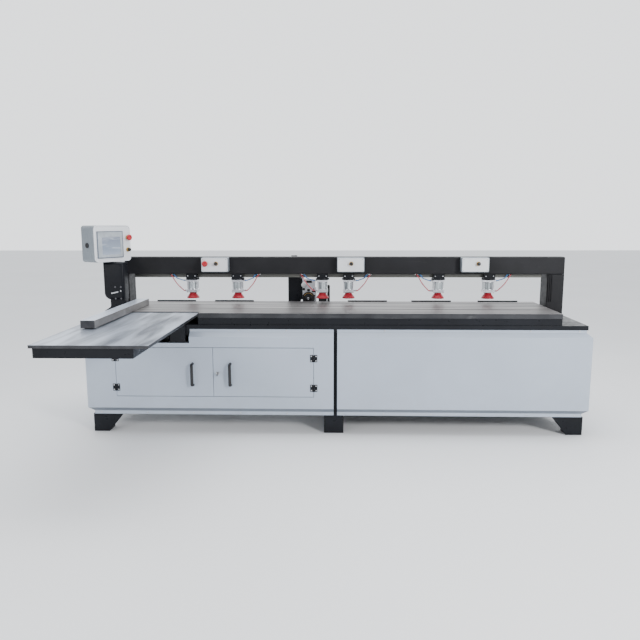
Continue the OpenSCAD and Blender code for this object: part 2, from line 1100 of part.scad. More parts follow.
module linear_rails() {
  run = 1780;
  color(bright_steel)
    for (y = head_rail_y)
      block([-run, y - 10, bed_top], [run, y + 10, bed_top + 17]);
  color(bright_steel)
    block([-run, 840, bed_top], [run, 860, bed_top + 20]);
}

module carriage_plate() {
  color(silver)
    block([carriage_left, 765, carriage_low], [carriage_right, 935, carriage_high]);
}

module x_bearings() {
  gap = 0.4;
  color(bright_steel)
    for (x = [carriage_left + 10, carriage_right - 90], y = head_rail_y)
      difference() {
        block([x, y - 22, bed_top + 5], [x + 80, y + 22, carriage_low]);
        block([x - eps, y - 10 - gap, bed_top], [x + 80 + eps, y + 10 + gap, bed_top + 17 + gap]);
      }
}

column_front = 820;
column_back = 920;
column_top = 1222;

module z_column() {
  rail = 6;
  color(black_paint)
    block([column_left, column_front, carriage_high], [column_right, column_back, column_top]);
  color(bright_steel)
    for (y = [column_front + 15, column_back - 35])
      block([column_right, y, 890], [column_right + rail, y + 20, 1180]);
}

module drive_motors() {
  color(charcoal) {
    union() {
      block([-385, 840, column_top], [-325, 900, column_top + 30]);
      rod_z([-355, 870, column_top + 30], 22, 26);
    }
    union() {
      block([-150, 855, carriage_high], [-80, 925, carriage_high + 60]);
      rod_z([-115, 890, carriage_high + 60], 90, 33);
    }
  }
}

module cable_duct() {
  low = carriage_high;
  high = 1030;
  color(black_paint)
    union() {
      block([-77, 800, low], [-51, 840, high - 13]);
      rod_y([-64, 800, high - 13], 40, 13);
    }
}

// Gap between sliding faces on different bodies
slide_gap = 0.4;

module z_slide() {
  low = 905;
  high = 1085;
  color(black_paint)
    difference() {
      block([column_right + slide_gap, column_front, low], [column_right + 22, column_back, high]);
      for (y = [column_front + 15, column_back - 35])
        block(
          [column_right, y - slide_gap, low - eps],
          [column_right + 6 + slide_gap, y + 20 + slide_gap, high + eps]
        );
    }
}

head_left = column_right + 22 + slide_gap;
head_right = -169;

module head_body() {
  front = 800;
  back = 905;
  color(silver)
    difference() {
      union() {
        block([head_left, front, 878], [head_right, back, 1010]);
        block([head_left, front + 12, 1010], [head_right - 20, back - 10, 1080]);
        rod_y([spindle_x, front - 8, spindle_z], 9, spindle_radius);
        block([head_right - 21, front - 3, 1009], [head_right - 6, front + 30, 1068]);
      }
      rod_y([spindle_x, front - 9, spindle_z], 60, spindle_shaft + running_gap);
    }
}

module feed_motor() {
  color(silver)
    union() {
      rod_y([head_left + 12, 770, 1032], 42, 21);
      rod_y([head_left + 12, 762, 1032], 10, 17);
    }
}

module spindle_chuck() {
  nose = 742;
  color(charcoal)
    difference() {
      union() {
        rod_y([spindle_x, 783, spindle_z], 8.6, 26);
        rod_y([spindle_x, nose, spindle_z], 100, spindle_shaft);
      }
      rod_y([spindle_x, nose - eps, spindle_z], 30 + eps, shank_radius);
    }
}

// ---- assembly ----

module placed() {
  translate(machine_shift)
    children();
}

placed() frame_posts();
placed() frame_rails();
placed() feet();
placed() front_cover_left();
placed() front_cover_right();
placed() end_covers();
placed() rear_covers();
placed() cover_screws();
placed() door_hinges();
placed() hinge_pins();
placed() cabinet_equipment();
placed() bed_plate();
placed() bed_bars();
placed() worktable();
placed() rear_stops();
placed() gantry_columns();
placed() gantry_beam();
placed() cylinder_rail();
placed() clamp_mounts();
placed() clamp_cylinders();
placed() air_fittings();
placed() red_hoses();
placed() blue_hoses();
placed() button_boxes();
placed() console_post();
placed() side_plate();
placed() side_frame();
placed() side_fence();
placed() linear_rails();
placed() left_door();
placed() left_door_leaves();
placed() left_door_handle();
placed() right_door();
placed() right_door_leaves();
placed() right_door_handle();
placed() door_lock();
placed() clamp_foot_1();
placed() clamp_foot_2();
placed() clamp_foot_3();
placed() clamp_foot_4();
placed() clamp_foot_5();
placed() clamp_foot_6();
placed() hmi_housing();
placed() hmi_front();
placed() hmi_screen();
placed() hmi_estop();
placed() hmi_button();
placed() box_estop();
placed() box_button_1();
placed() box_button_2();
placed() box_button_3();
placed() carriage_plate();
placed() x_bearings();
placed() z_column();
placed() drive_motors();
placed() cable_duct();
placed() z_slide();
placed() head_body();
placed() feed_motor();
placed() spindle_chuck();
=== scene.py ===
"""Looks of the panel dowelling machine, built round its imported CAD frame.

Lengths are in millimetres in the machine's own coordinates, as in part.scad: X = 0 at the joint of the two
base modules, Y = 0 at the face of the front covers, Z = 0 on the floor. at() turns them into the row frame.
"""
import json
import math

import bmesh
import bpy
from mathutils import Matrix, Vector


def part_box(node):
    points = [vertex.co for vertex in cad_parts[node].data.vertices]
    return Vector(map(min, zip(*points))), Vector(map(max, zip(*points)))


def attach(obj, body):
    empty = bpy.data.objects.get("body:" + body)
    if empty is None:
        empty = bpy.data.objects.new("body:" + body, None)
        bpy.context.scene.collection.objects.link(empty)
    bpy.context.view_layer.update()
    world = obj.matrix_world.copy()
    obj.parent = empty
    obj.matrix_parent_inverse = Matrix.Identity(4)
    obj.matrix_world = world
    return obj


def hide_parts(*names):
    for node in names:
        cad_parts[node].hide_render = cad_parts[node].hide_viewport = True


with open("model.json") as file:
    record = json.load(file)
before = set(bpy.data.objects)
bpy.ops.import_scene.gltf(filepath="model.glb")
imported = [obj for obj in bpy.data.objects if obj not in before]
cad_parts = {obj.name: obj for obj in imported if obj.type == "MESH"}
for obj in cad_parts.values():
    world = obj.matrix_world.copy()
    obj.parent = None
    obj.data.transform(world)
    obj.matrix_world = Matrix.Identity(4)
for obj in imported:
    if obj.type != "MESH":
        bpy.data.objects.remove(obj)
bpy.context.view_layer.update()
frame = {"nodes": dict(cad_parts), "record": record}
MM = 0.001

table_low, table_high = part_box("worktable")
cover_low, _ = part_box("front_cover_right")
ORIGIN = Vector(((table_low.x + table_high.x) / 2, cover_low.y, 0))


def at(x, y, z):
    """A point given in the machine's millimetres, in the row frame."""
    return ORIGIN + Vector((x, y, z)) * MM


# ---------------------------------------------------------------- camera, light and floor

CAMERA_PLACE = (27.1, -4391.5, 1554.1)
CAMERA_YAW = 1.8
CAMERA_PITCH = 9.0
CAMERA_ROLL = -0.1
CAMERA_LENS = 34.875


def make_camera():
    data = bpy.data.cameras.new("camera")
    data.lens = CAMERA_LENS
    data.sensor_width = 36
    data.clip_end = 100
    camera = bpy.data.objects.new("camera", data)
    turn = Matrix.Rotation(math.radians(CAMERA_YAW), 4, "Z")
    tilt = Matrix.Rotation(math.radians(90 - CAMERA_PITCH), 4, "X")
    roll = Matrix.Rotation(math.radians(CAMERA_ROLL), 4, "Z")
    camera.matrix_world = Matrix.Translation(at(*CAMERA_PLACE)) @ turn @ tilt @ roll
    bpy.context.collection.objects.link(camera)
    bpy.context.scene.camera = camera


# name, place, target, size in metres, and power in watts
LIGHTS = (
    ("key", (4.2, -4.8, 3.0), (0, 0, 0.6), (1.4, 1.2), 330),
    ("fill", (-4.0, -4.5, 2.6), (0, 0, 0.7), (3.0, 2.0), 90),
    ("top", (0, 0.2, 4.2), (0, 0.3, 0.8), (5.0, 1.6), 80),
)
ROOM_COLOUR = (0.50, 0.52, 0.56, 1)
BACKDROP_COLOUR = (1.9, 1.95, 2.0, 1)
BACKDROP_FADE = (-0.35, 0.45)
FLOOR_SIZE = 60
FLOOR_DROP = 0.0005

# Sockets of a colour Mix node
MIX_FACTOR, MIX_FIRST, MIX_SECOND, MIX_RESULT = 0, 6, 7, 2


def area_light(name, place, target, size, power):
    data = bpy.data.lights.new(name, "AREA")
    data.shape = "RECTANGLE"
    data.size, data.size_y = size
    data.energy = power
    light = bpy.data.objects.new(name, data)
    light.location = place
    light.rotation_euler = (Vector(target) - Vector(place)).to_track_quat("-Z", "Y").to_euler()
    bpy.context.collection.objects.link(light)


def make_world():
    """A bright backdrop behind the machine and a dimmer room behind the camera."""
    world = bpy.data.worlds.new("studio")
    world.use_nodes = True
    tree = world.node_tree
    coords = tree.nodes.new("ShaderNodeTexCoord")
    split = tree.nodes.new("ShaderNodeSeparateXYZ")
    fade = tree.nodes.new("ShaderNodeMapRange")
    fade.inputs["From Min"].default_value, fade.inputs["From Max"].default_value = BACKDROP_FADE
    mixer = tree.nodes.new("ShaderNodeMix")
    mixer.data_type = "RGBA"
    mixer.inputs[MIX_FIRST].default_value = ROOM_COLOUR
    mixer.inputs[MIX_SECOND].default_value = BACKDROP_COLOUR
    tree.links.new(coords.outputs["Generated"], split.inputs["Vector"])
    tree.links.new(split.outputs["Y"], fade.inputs["Value"])
    tree.links.new(fade.outputs["Result"], mixer.inputs[MIX_FACTOR])
    tree.links.new(mixer.outputs[MIX_RESULT], tree.nodes["Background"].inputs["Color"])
    bpy.context.scene.world = world


def make_studio():
    make_world()
    for light in LIGHTS:
        area_light(*light)
    bpy.ops.mesh.primitive_plane_add(size=FLOOR_SIZE, location=(0, 0, -FLOOR_DROP))
    floor = bpy.context.object
    floor.name = "floor"
    floor.data.materials.append(plain_floor())


# ---------------------------------------------------------------- material helpers

class Shader:
    """A Principled material and the node links that its surface needs."""

    def __init__(self, name, metallic=0.0, roughness=0.5, **fixed):
        self.material = bpy.data.materials.new(name)
        self.material.use_nodes = True
        self.tree = self.material.node_tree
        self.shader = self.tree.nodes["Principled BSDF"]
        self.shader.inputs["Metallic"].default_value = metallic
        self.shader.inputs["Roughness"].default_value = roughness
        for socket, value in fixed.items():
            self.shader.inputs[socket.replace("_", " ")].default_value = value
        self.coords = self.tree.nodes.new("ShaderNodeTexCoord").outputs["Object"]

    def node(self, kind, **settings):
        made = self.tree.nodes.new(kind)
        for key, value in settings.items():
            setattr(made, key, value)
        return made

    def link(self, output, target):
        self.tree.links.new(output, target)

    def noise(self, scale, detail=4.0, stretch=(1, 1, 1), distortion=0.0):
        """Noise in object space, with its scale multiplied along each axis by stretch."""
        mapping = self.node("ShaderNodeMapping")
        mapping.inputs["Scale"].default_value = stretch
        self.link(self.coords, mapping.inputs["Vector"])
        texture = self.node("ShaderNodeTexNoise")
        texture.inputs["Scale"].default_value = scale
        texture.inputs["Detail"].default_value = detail
        texture.inputs["Distortion"].default_value = distortion
        self.link(mapping.outputs["Vector"], texture.inputs["Vector"])
        return texture.outputs["Fac"]

    def ramp(self, value, stops):
        """Colour or grey ramp, with stops as (position, colour or grey)."""
        ramp = self.node("ShaderNodeValToRGB")
        elements = ramp.color_ramp.elements
        while len(elements) < len(stops):
            elements.new(0.5)
        for element, (position, colour) in zip(elements, stops):
            element.position = position
            element.color = (*colour, 1) if isinstance(colour, tuple) else (colour, colour, colour, 1)
        self.link(value, ramp.inputs["Fac"])
        return ramp.outputs["Color"]

    def mix(self, factor, first, second, mode="MIX"):
        mixer = self.node("ShaderNodeMix", data_type="RGBA", blend_type=mode)
        if isinstance(factor, float):
            mixer.inputs[MIX_FACTOR].default_value = factor
        else:
            self.link(factor, mixer.inputs[MIX_FACTOR])
        for socket, colour in ((mixer.inputs[MIX_FIRST], first), (mixer.inputs[MIX_SECOND], second)):
            if isinstance(colour, tuple):
                socket.default_value = (*colour, 1)
            else:
                self.link(colour, socket)
        return mixer.outputs[MIX_RESULT]

    def bump(self, height, strength, distance):
        bump = self.node("ShaderNodeBump")
        bump.inputs["Strength"].default_value = strength
        bump.inputs["Distance"].default_value = distance
        self.link(height, bump.inputs["Height"])
        self.link(bump.outputs["Normal"], self.shader.inputs["Normal"])

    def colour(self, output):
        self.link(output, self.shader.inputs["Base Color"])

    def rough(self, output):
        self.link(output, self.shader.inputs["Roughness"])

    def facing(self, axis, limit):
        """1 on faces that look along an axis (or against it, for a limit below 0), 0 on the others."""
        geometry = self.node("ShaderNodeNewGeometry")
        split = self.node("ShaderNodeSeparateXYZ")
        self.link(geometry.outputs["Normal"], split.inputs["Vector"])
        step = self.node("ShaderNodeMath", operation="GREATER_THAN" if limit > 0 else "LESS_THAN")
        step.inputs[1].default_value = limit
        self.link(split.outputs[axis], step.inputs[0])
        return step.outputs["Value"]

    def upward(self):
        return self.facing("Z", 0.8)

    def height(self):
        split = self.node("ShaderNodeSeparateXYZ")
        self.link(self.coords, split.inputs["Vector"])
        return split.outputs["Z"]


def shade(colour, factor):
    return tuple(min(1.0, c * factor) for c in colour)


def plain_floor():
    s = Shader("floor_paper", roughness=0.9)
    s.colour(s.ramp(s.noise(0.6, 2), [(0.3, (0.90, 0.91, 0.92)), (0.7, (0.93, 0.94, 0.95))]))
    return s.material


# Height in metres below which dust shows on the paint, and its colour
DUST_LEVEL = 0.42
DUST_COLOUR = (0.30, 0.29, 0.27)


def powder_coat(name, colour, roughness=0.42, dust=0.0):
    """Sprayed and baked paint: a faint cloud, orange peel, dust near the floor, and painted shade on its
    downward faces.
    """
    s = Shader(name, Coat_Weight=0.12, Coat_Roughness=0.25)
    cloud = s.noise(2.2, 5, distortion=0.3)
    base = s.ramp(cloud, [(0.32, shade(colour, 0.955)), (0.68, shade(colour, 1.03))])
    if dust:
        fade = s.node("ShaderNodeMapRange")
        fade.inputs["From Min"].default_value = DUST_LEVEL
        fade.inputs["From Max"].default_value = 0.0
        s.link(s.height(), fade.inputs["Value"])
        patch = s.node("ShaderNodeMath", operation="MULTIPLY")
        s.link(fade.outputs["Result"], patch.inputs[0])
        s.link(s.ramp(s.noise(9, 6, distortion=1.0), [(0.35, 0.0), (0.75, dust)]), patch.inputs[1])
        base = s.mix(patch.outputs["Value"], base, DUST_COLOUR)
    # Faces that look down take 0.42 of the colour: painted shade.
    s.colour(s.mix(s.facing("Z", -0.4), base, shade(colour, 0.42)))
    fine = s.noise(620, 2)
    s.rough(s.ramp(s.noise(14, 4), [(0.3, roughness - 0.06), (0.7, roughness + 0.08)]))
    s.bump(fine, 0.10, 0.0006)
    return s.material


def scuffed_paint(name, colour, wear, roughness=0.45, shine=0.25):
    """Dark paint with light scuffs and a fine texture."""
    s = Shader(name, Specular_IOR_Level=shine)
    cloud = s.ramp(s.noise(3.5, 5), [(0.3, shade(colour, 0.8)), (0.7, shade(colour, 1.25))])
    scratch = s.ramp(s.noise(18, 8, stretch=(0.35, 1.0, 3.0), distortion=2.0), [(0.66, 0.0), (0.80, 0.35)])
    s.colour(s.mix(scratch, cloud, wear))
    s.rough(s.ramp(s.noise(30, 3), [(0.3, roughness - 0.08), (0.7, roughness + 0.1)]))
    s.bump(s.noise(520, 2), 0.12, 0.0006)
    return s.material


def ground_table():
    """Ground steel top with long streaks and oil marks, and painted shade on its edges."""
    s = Shader("ground_table", metallic=0.55)
    streak = s.noise(1.0, 9, stretch=(0.9, 46, 46), distortion=0.25)
    fine = s.noise(1.0, 5, stretch=(4, 420, 420))
    blotch = s.noise(3.2, 6, stretch=(0.8, 2.2, 1), distortion=1.4)
    top = s.ramp(streak, [(0.36, (0.075, 0.072, 0.075)), (0.50, (0.17, 0.165, 0.165)),
                          (0.64, (0.36, 0.345, 0.34))])
    top = s.mix(s.ramp(fine, [(0.35, 0.0), (0.7, 0.40)]), top, (0.30, 0.29, 0.29))
    top = s.mix(s.ramp(blotch, [(0.55, 0.0), (0.80, 0.40)]), top, (0.12, 0.11, 0.105))
    edge = s.ramp(s.noise(7, 6), [(0.3, (0.030, 0.031, 0.035)), (0.7, (0.058, 0.059, 0.064))])
    worn = s.ramp(s.noise(3.0, 7, stretch=(0.8, 1, 5), distortion=1.5), [(0.60, 0.0), (0.72, 0.5)])
    # Faces that don't look up take the dark edge colour, which is painted shade, with worn patches mixed in.
    s.colour(s.mix(s.upward(), s.mix(worn, edge, (0.16, 0.16, 0.165)), top))
    s.rough(s.ramp(streak, [(0.3, 0.55), (0.7, 0.36)]))
    s.bump(fine, 0.08, 0.0004)
    return s.material


def brushed_plate(name, low, high, grain=(60, 0.9, 60), edge=(0.055, 0.055, 0.06), metallic=0.7):
    """Brushed plate with bands along its length, and painted shade on its edges."""
    s = Shader(name, metallic=metallic)
    band = s.noise(1.0, 7, stretch=(grain[0] * 0.12, grain[1], grain[2] * 0.12), distortion=0.5)
    fine = s.noise(1.0, 5, stretch=(grain[0] * 8, grain[1] * 5, grain[2] * 8))
    top = s.ramp(band, [(0.38, low), (0.52, shade(high, 0.72)), (0.64, high)])
    top = s.mix(s.ramp(fine, [(0.3, 0.0), (0.75, 0.30)]), top, shade(high, 1.08))
    smear = s.ramp(s.noise(4.5, 6, distortion=1.2), [(0.58, 0.0), (0.78, 0.30)])
    top = s.mix(smear, top, shade(low, 0.75))
    rim = s.ramp(s.noise(16, 5), [(0.3, shade(edge, 0.8)), (0.7, shade(edge, 1.3))])
    # Faces that don't look up take the dark rim colour: painted shade.
    s.colour(s.mix(s.upward(), rim, top))
    s.rough(s.ramp(band, [(0.3, 0.46), (0.7, 0.30)]))
    s.bump(fine, 0.07, 0.0004)
    return s.material


def metal(name, colour, roughness, grain=(1, 1, 1), scale=160, contrast=0.10, metallic=1.0):
    """Bare or plated metal with a turned, drawn or cast grain."""
    s = Shader(name, metallic=metallic)
    texture = s.noise(scale, 4, stretch=grain)
    s.colour(s.ramp(texture, [(0.3, shade(colour, 1 - contrast)), (0.7, shade(colour, 1 + contrast))]))
    coarse = s.noise(scale * 0.35, 3, stretch=grain)
    s.rough(s.ramp(coarse, [(0.3, roughness * 0.8), (0.7, roughness * 1.25)]))
    s.bump(texture, 0.10, 0.0004)
    return s.material


def moulded(name, colour, roughness, sheen=0.0, speckle=700):
    """Moulded plastic or rubber with a fine spark-eroded texture."""
    s = Shader(name, Sheen_Weight=sheen)
    s.colour(s.ramp(s.noise(24, 4), [(0.3, shade(colour, 0.86)), (0.7, shade(colour, 1.10))]))
    s.rough(s.ramp(s.noise(60, 3), [(0.3, roughness - 0.05), (0.7, roughness + 0.08)]))
    s.bump(s.noise(speckle, 2), 0.14, 0.0004)
    return s.material


# Heights in metres over which the painted reflection on the console's glass fades, so that the glass darkens
# upwards
GLASS_REFLECTION_FADE = (1.30, 1.45)


def display_glass():
    """A touch panel that is off: slate glass, lightened towards its foot by a painted reflection, with soft
    painted reflections.
    """
    s = Shader("display_glass", roughness=0.10, Coat_Weight=1.0, Coat_Roughness=0.04)
    # The glass lightens towards its foot: painted reflection.
    fade = s.node("ShaderNodeMapRange")
    fade.inputs["From Min"].default_value, fade.inputs["From Max"].default_value = GLASS_REFLECTION_FADE
    s.link(s.height(), fade.inputs["Value"])
    base = s.ramp(fade.outputs["Result"], [(0.0, (0.40, 0.46, 0.56)), (0.45, (0.25, 0.30, 0.39)),
                                           (1.0, (0.15, 0.18, 0.25))])
    # Light streaks across the glass: painted reflections.
    reflection_noise = s.noise(9, 2, stretch=(0.5, 0.5, 3.0), distortion=0.3)
    streak = s.ramp(reflection_noise, [(0.55, 0.0), (0.62, 0.5), (0.70, 0.0)])
    s.colour(s.mix(streak, base, (0.62, 0.68, 0.76)))
    s.bump(s.noise(30, 2), 0.01, 0.0002)
    return s.material


def fence_steel():
    """A ground bar: a painted highlight on top, painted shade along its side, and darker painted shade on its
    end.
    """
    s = Shader("fence_steel", metallic=0.6)
    fine = s.noise(1.0, 6, stretch=(260, 3, 260))
    patch = s.noise(5.0, 6, stretch=(1, 0.5, 1), distortion=1.0)
    top = s.ramp(fine, [(0.3, (0.46, 0.52, 0.62)), (0.7, (0.78, 0.84, 0.93))])
    side = s.ramp(patch, [(0.35, (0.13, 0.125, 0.125)), (0.65, (0.24, 0.235, 0.235))])
    end = s.ramp(patch, [(0.35, (0.035, 0.036, 0.042)), (0.65, (0.075, 0.075, 0.08))])
    # Top, side and end take lit and shaded copies of one steel: painted highlight and painted shade.
    s.colour(s.mix(s.facing("Z", 0.8), s.mix(s.facing("Y", -0.8), side, end), top))
    s.rough(s.ramp(patch, [(0.3, 0.5), (0.7, 0.34)]))
    s.bump(fine, 0.06, 0.0004)
    return s.material


# Finishes by the record's material slots
FINISH = {
    "cover_paint": powder_coat("cover_paint", (0.43, 0.49, 0.58), 0.42, dust=0.25),
    "black_paint": scuffed_paint("black_paint", (0.010, 0.011, 0.014), (0.06, 0.06, 0.065), 0.34, 0.16),
    "beam_paint": scuffed_paint("beam_paint", (0.016, 0.016, 0.018), (0.05, 0.05, 0.05), 0.44, 0.16),
    "table_steel": ground_table(),
    "bright_steel": brushed_plate("bright_steel", (0.065, 0.075, 0.10), (0.56, 0.62, 0.72)),
    "zinc_steel": metal("zinc_steel", (0.55, 0.56, 0.58), 0.38, scale=90, contrast=0.14),
    "silver_cast": metal("silver_cast", (0.60, 0.63, 0.67), 0.42, scale=420, contrast=0.06, metallic=0.35),
    "aluminium": metal("aluminium", (0.66, 0.67, 0.70), 0.30, grain=(1, 1, 30), scale=60, metallic=0.9),
    "cup_rubber": moulded("cup_rubber", (0.36, 0.011, 0.024), 0.34),
    "red_plastic": moulded("red_plastic", (0.48, 0.016, 0.026), 0.20),
    "black_plastic": moulded("black_plastic", (0.012, 0.012, 0.014), 0.38),
    "red_hose": moulded("red_hose", (0.60, 0.075, 0.105), 0.20),
    "blue_hose": moulded("blue_hose", (0.045, 0.19, 0.50), 0.20),
    "chrome": metal("chrome", (0.78, 0.79, 0.81), 0.10, scale=50, contrast=0.04),
    "screen": moulded("screen", (0.42, 0.46, 0.50), 0.35),
    "motor_black": scuffed_paint("motor_black", (0.020, 0.020, 0.022), (0.09, 0.09, 0.09), 0.42),
    "hardened_steel": metal("hardened_steel", (0.38, 0.38, 0.40), 0.28, grain=(1, 20, 20), scale=30,
                            contrast=0.15),
}

# Finishes of pieces that differ from their slot
BRASS = metal("brass", (0.52, 0.33, 0.11), 0.28, scale=120)
GLASS = display_glass()
WHITE_CAP = moulded("white_cap", (0.80, 0.81, 0.82), 0.30)
GREY_CASE = metal("grey_case", (0.24, 0.27, 0.30), 0.42, grain=(1, 1, 0.02), scale=900, contrast=0.25,
                  metallic=0.3)
WHITE_FACE = powder_coat("white_face", (0.80, 0.82, 0.85), 0.35)
SLATE = moulded("slate", (0.13, 0.155, 0.20), 0.35)
# The barrels' skins: a grey tube whose strong light and dark streaks along it are painted reflections.
BARREL_REFLECTION_STREAKS = metal("barrel_painted_reflections", (0.50, 0.54, 0.56), 0.12, grain=(1, 1, 0.04), scale=70, contrast=0.75,
                     metallic=0.5)
DIM_STEEL = metal("dim_steel", (0.14, 0.14, 0.15), 0.40, scale=120)
# The cylinder rail is aluminium; its dark colour is painted shade from the beam above it.
RAIL_PAINTED_SHADE = metal("rail_painted_shade", (0.11, 0.11, 0.10), 0.45, grain=(0.05, 20, 20), scale=40, contrast=0.2,
                   metallic=0.5)
FENCE_STEEL = fence_steel()


# ---------------------------------------------------------------- mesh helpers

def finished(name, mesh, finish, body, replaced=()):
    """Makes an object from a bmesh, gives it its material, and lets it ride on its body."""
    data = bpy.data.meshes.new(name)
    bmesh.ops.recalc_face_normals(mesh, faces=mesh.faces)
    mesh.to_mesh(data)
    mesh.free()
    piece = bpy.data.objects.new(name, data)
    bpy.context.collection.objects.link(piece)
    data.materials.append(finish)
    for polygon in data.polygons:
        polygon.use_smooth = True
    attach(piece, body)
    if replaced:
        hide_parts(*replaced)
    return piece


def sharpen(piece, angle=38):
    """Keeps edges above an angle crisp while the rest stays smooth."""
    modifier = piece.modifiers.new("crisp", "EDGE_SPLIT")
    modifier.split_angle = math.radians(angle)


def rounded(piece, width, segments=2, angle=35):
    """Rounds the edges of a piece by a width in mm."""
    modifier = piece.modifiers.new("round", "BEVEL")
    modifier.width = width * MM
    modifier.segments = segments
    modifier.limit_method = "ANGLE"
    modifier.angle_limit = math.radians(angle)
    modifier.harden_normals = True
    modifier.use_clamp_overlap = True


def add_box(mesh, low, high, place=at):
    """Adds a box between two corners."""
    corners = [(x, y, z) for x in (low[0], high[0]) for y in (low[1], high[1]) for z in (low[2], high[2])]
    v = [mesh.verts.new(place(*c)) for c in corners]
    for quad in ((0, 1, 3, 2), (4, 6, 7, 5), (0, 4, 5, 1), (2, 3, 7, 6), (0, 2, 6, 4), (1, 5, 7, 3)):
        mesh.faces.new([v[i] for i in quad])


def join_rings(mesh, a, b):
    """Adds the faces between two rings of as many vertices each."""
    count = len(a)
    for k in range(count):
        n = (k + 1) % count
        mesh.faces.new((a[k], a[n], b[n], b[k]))


def add_lathe(mesh, centre, axis, profile, sides=48, place=at):
    """Turns a profile of (radius, distance along the axis) about a line. A radius of 0 closes the form."""
    direction = Vector({"x": (1, 0, 0), "y": (0, 1, 0), "z": (0, 0, 1)}[axis])
    across = Vector((0, 0, 1)) if axis != "z" else Vector((1, 0, 0))
    other = direction.cross(across)
    rings = []
    for radius, distance in profile:
        middle = Vector(centre) + direction * distance
        if radius == 0:
            rings.append([mesh.verts.new(place(*middle))])
            continue
        ring = []
        for k in range(sides):
            angle = 2 * math.pi * k / sides
            offset = (across * math.cos(angle) + other * math.sin(angle)) * radius
            ring.append(mesh.verts.new(place(*(middle + offset))))
        rings.append(ring)
    for a, b in zip(rings, rings[1:]):
        if len(a) == len(b):
            join_rings(mesh, a, b)
            continue
        for k in range(sides):
            n = (k + 1) % sides
            mesh.faces.new((a[0], b[k], b[n]) if len(a) == 1 else (a[k], a[n], b[0]))


def add_outline(mesh, outline, front, back, place=at):
    """Pushes an outline in X and Z back along Y from front to back."""
    near = [mesh.verts.new(place(x, front, z)) for x, z in outline]
    far = [mesh.verts.new(place(x, back, z)) for x, z in outline]
    mesh.faces.new(near)
    mesh.faces.new(list(reversed(far)))
    join_rings(mesh, near, far)


def smooth_route(points, steps=7):
    """A smooth curve through points (Catmull-Rom), sampled evenly between each pair."""
    ends = [points[0] * 2 - points[1], *points, points[-1] * 2 - points[-2]]
    route = []
    for i in range(1, len(ends) - 2):
        a, b, c, d = ends[i - 1:i + 3]
        for k in range(steps):
            t = k / steps
            route.append(0.5 * (2 * b + (c - a) * t + (2 * a - 5 * b + 4 * c - d) * t ** 2
                                + (3 * b - a - 3 * c + d) * t ** 3))
    return [*route, points[-1]]


def add_tube(mesh, route, radius, sides=16, depth=None):
    """Sweeps a closed round tube along a route of points in machine millimetres. depth flattens it."""
    rings = []
    first = (route[1] - route[0]).normalized()
    across = Vector((1, 0, 0)) if abs(first.x) < 0.9 else Vector((0, 1, 0))
    for i, point in enumerate(route):
        ahead = route[min(i + 1, len(route) - 1)] - route[max(i - 1, 0)]
        ahead.normalize()
        across = (across - ahead * across.dot(ahead)).normalized()
        other = ahead.cross(across)
        ring = []
        for k in range(sides):
            angle = 2 * math.pi * k / sides
            offset = across * math.cos(angle) * radius + other * math.sin(angle) * (depth or radius)
            ring.append(mesh.verts.new(at(*(point + offset))))
        rings.append(ring)
    for a, b in zip(rings, rings[1:]):
        join_rings(mesh, a, b)
    mesh.faces.new(list(reversed(rings[0])))
    mesh.faces.new(rings[-1])


def rounded_outline(x, low, width, height, radius, steps=8):
    """A rectangle in X and Z with round corners, as a list of points."""
    points = []
    right, left = x + width / 2 - radius, x - width / 2 + radius
    upper, lower = low + height - radius, low + radius
    for cx, cz, start in ((right, upper, 0), (left, upper, 90), (left, lower, 180), (right, lower, 270)):
        for k in range(steps + 1):
            angle = math.radians(start + 90 * k / steps)
            points.append((cx + radius * math.cos(angle), cz + radius * math.sin(angle)))
    return points


def add_rim(mesh, outer, inner, front, back, place=at):
    """A flat rim between two outlines with as many points each."""
    rings = [[mesh.verts.new(place(x, y, z)) for x, z in outline]
             for outline, y in ((outer, front), (inner, front), (inner, back), (outer, back))]
    for a, b in zip(rings, rings[1:] + rings[:1]):
        join_rings(mesh, a, b)


# ---------------------------------------------------------------- CAD nodes: finish and edge rounding

# Vertices closer than this, in metres, are one vertex before an edge is rounded
WELD_DISTANCE = 0.00002

# Width in mm of the rounding on each CAD node's edges
EDGE_WIDTH = {
    "front_cover_left": 0.8, "front_cover_right": 0.8, "end_covers": 0.8, "rear_covers": 0.8,
    "left_door": 0.8, "right_door": 0.8, "feet": 2, "frame_posts": 3, "frame_rails": 3, "bed_plate": 2,
    "bed_bars": 2.5, "worktable": 1.5, "rear_stops": 1, "gantry_columns": 3, "gantry_beam": 5,
    "cylinder_rail": 1.5, "clamp_mounts": 1.5, "clamp_cylinders": 1.5, "air_fittings": 1, "console_post": 4,
    "side_plate": 1.2, "side_frame": 3, "side_fence": 1.5, "linear_rails": 1, "cabinet_equipment": 2,
    "carriage_plate": 2, "x_bearings": 1.5, "z_column": 3, "drive_motors": 3, "z_slide": 1.5,
    "door_hinges": 0.6, "left_door_leaves": 0.6, "right_door_leaves": 0.6, "hinge_pins": 0.4,
}
# The side fence takes painted highlight and shade on its faces, and the cylinder rail a dark finish of
# painted shade.
SPECIAL_FINISH = {"side_fence": FENCE_STEEL, "cylinder_rail": RAIL_PAINTED_SHADE}


def finish_cad_nodes():
    for part in frame["record"]["subparts"]:
        node = frame["nodes"][part["node"]]
        node.data.materials.clear()
        node.data.materials.append(SPECIAL_FINISH.get(part["node"], FINISH[part["material_slot"]]))
        if part["node"] in EDGE_WIDTH:
            weld = node.modifiers.new("weld", "WELD")
            weld.merge_threshold = WELD_DISTANCE
            rounded(node, EDGE_WIDTH[part["node"]])


# ---------------------------------------------------------------- fasteners

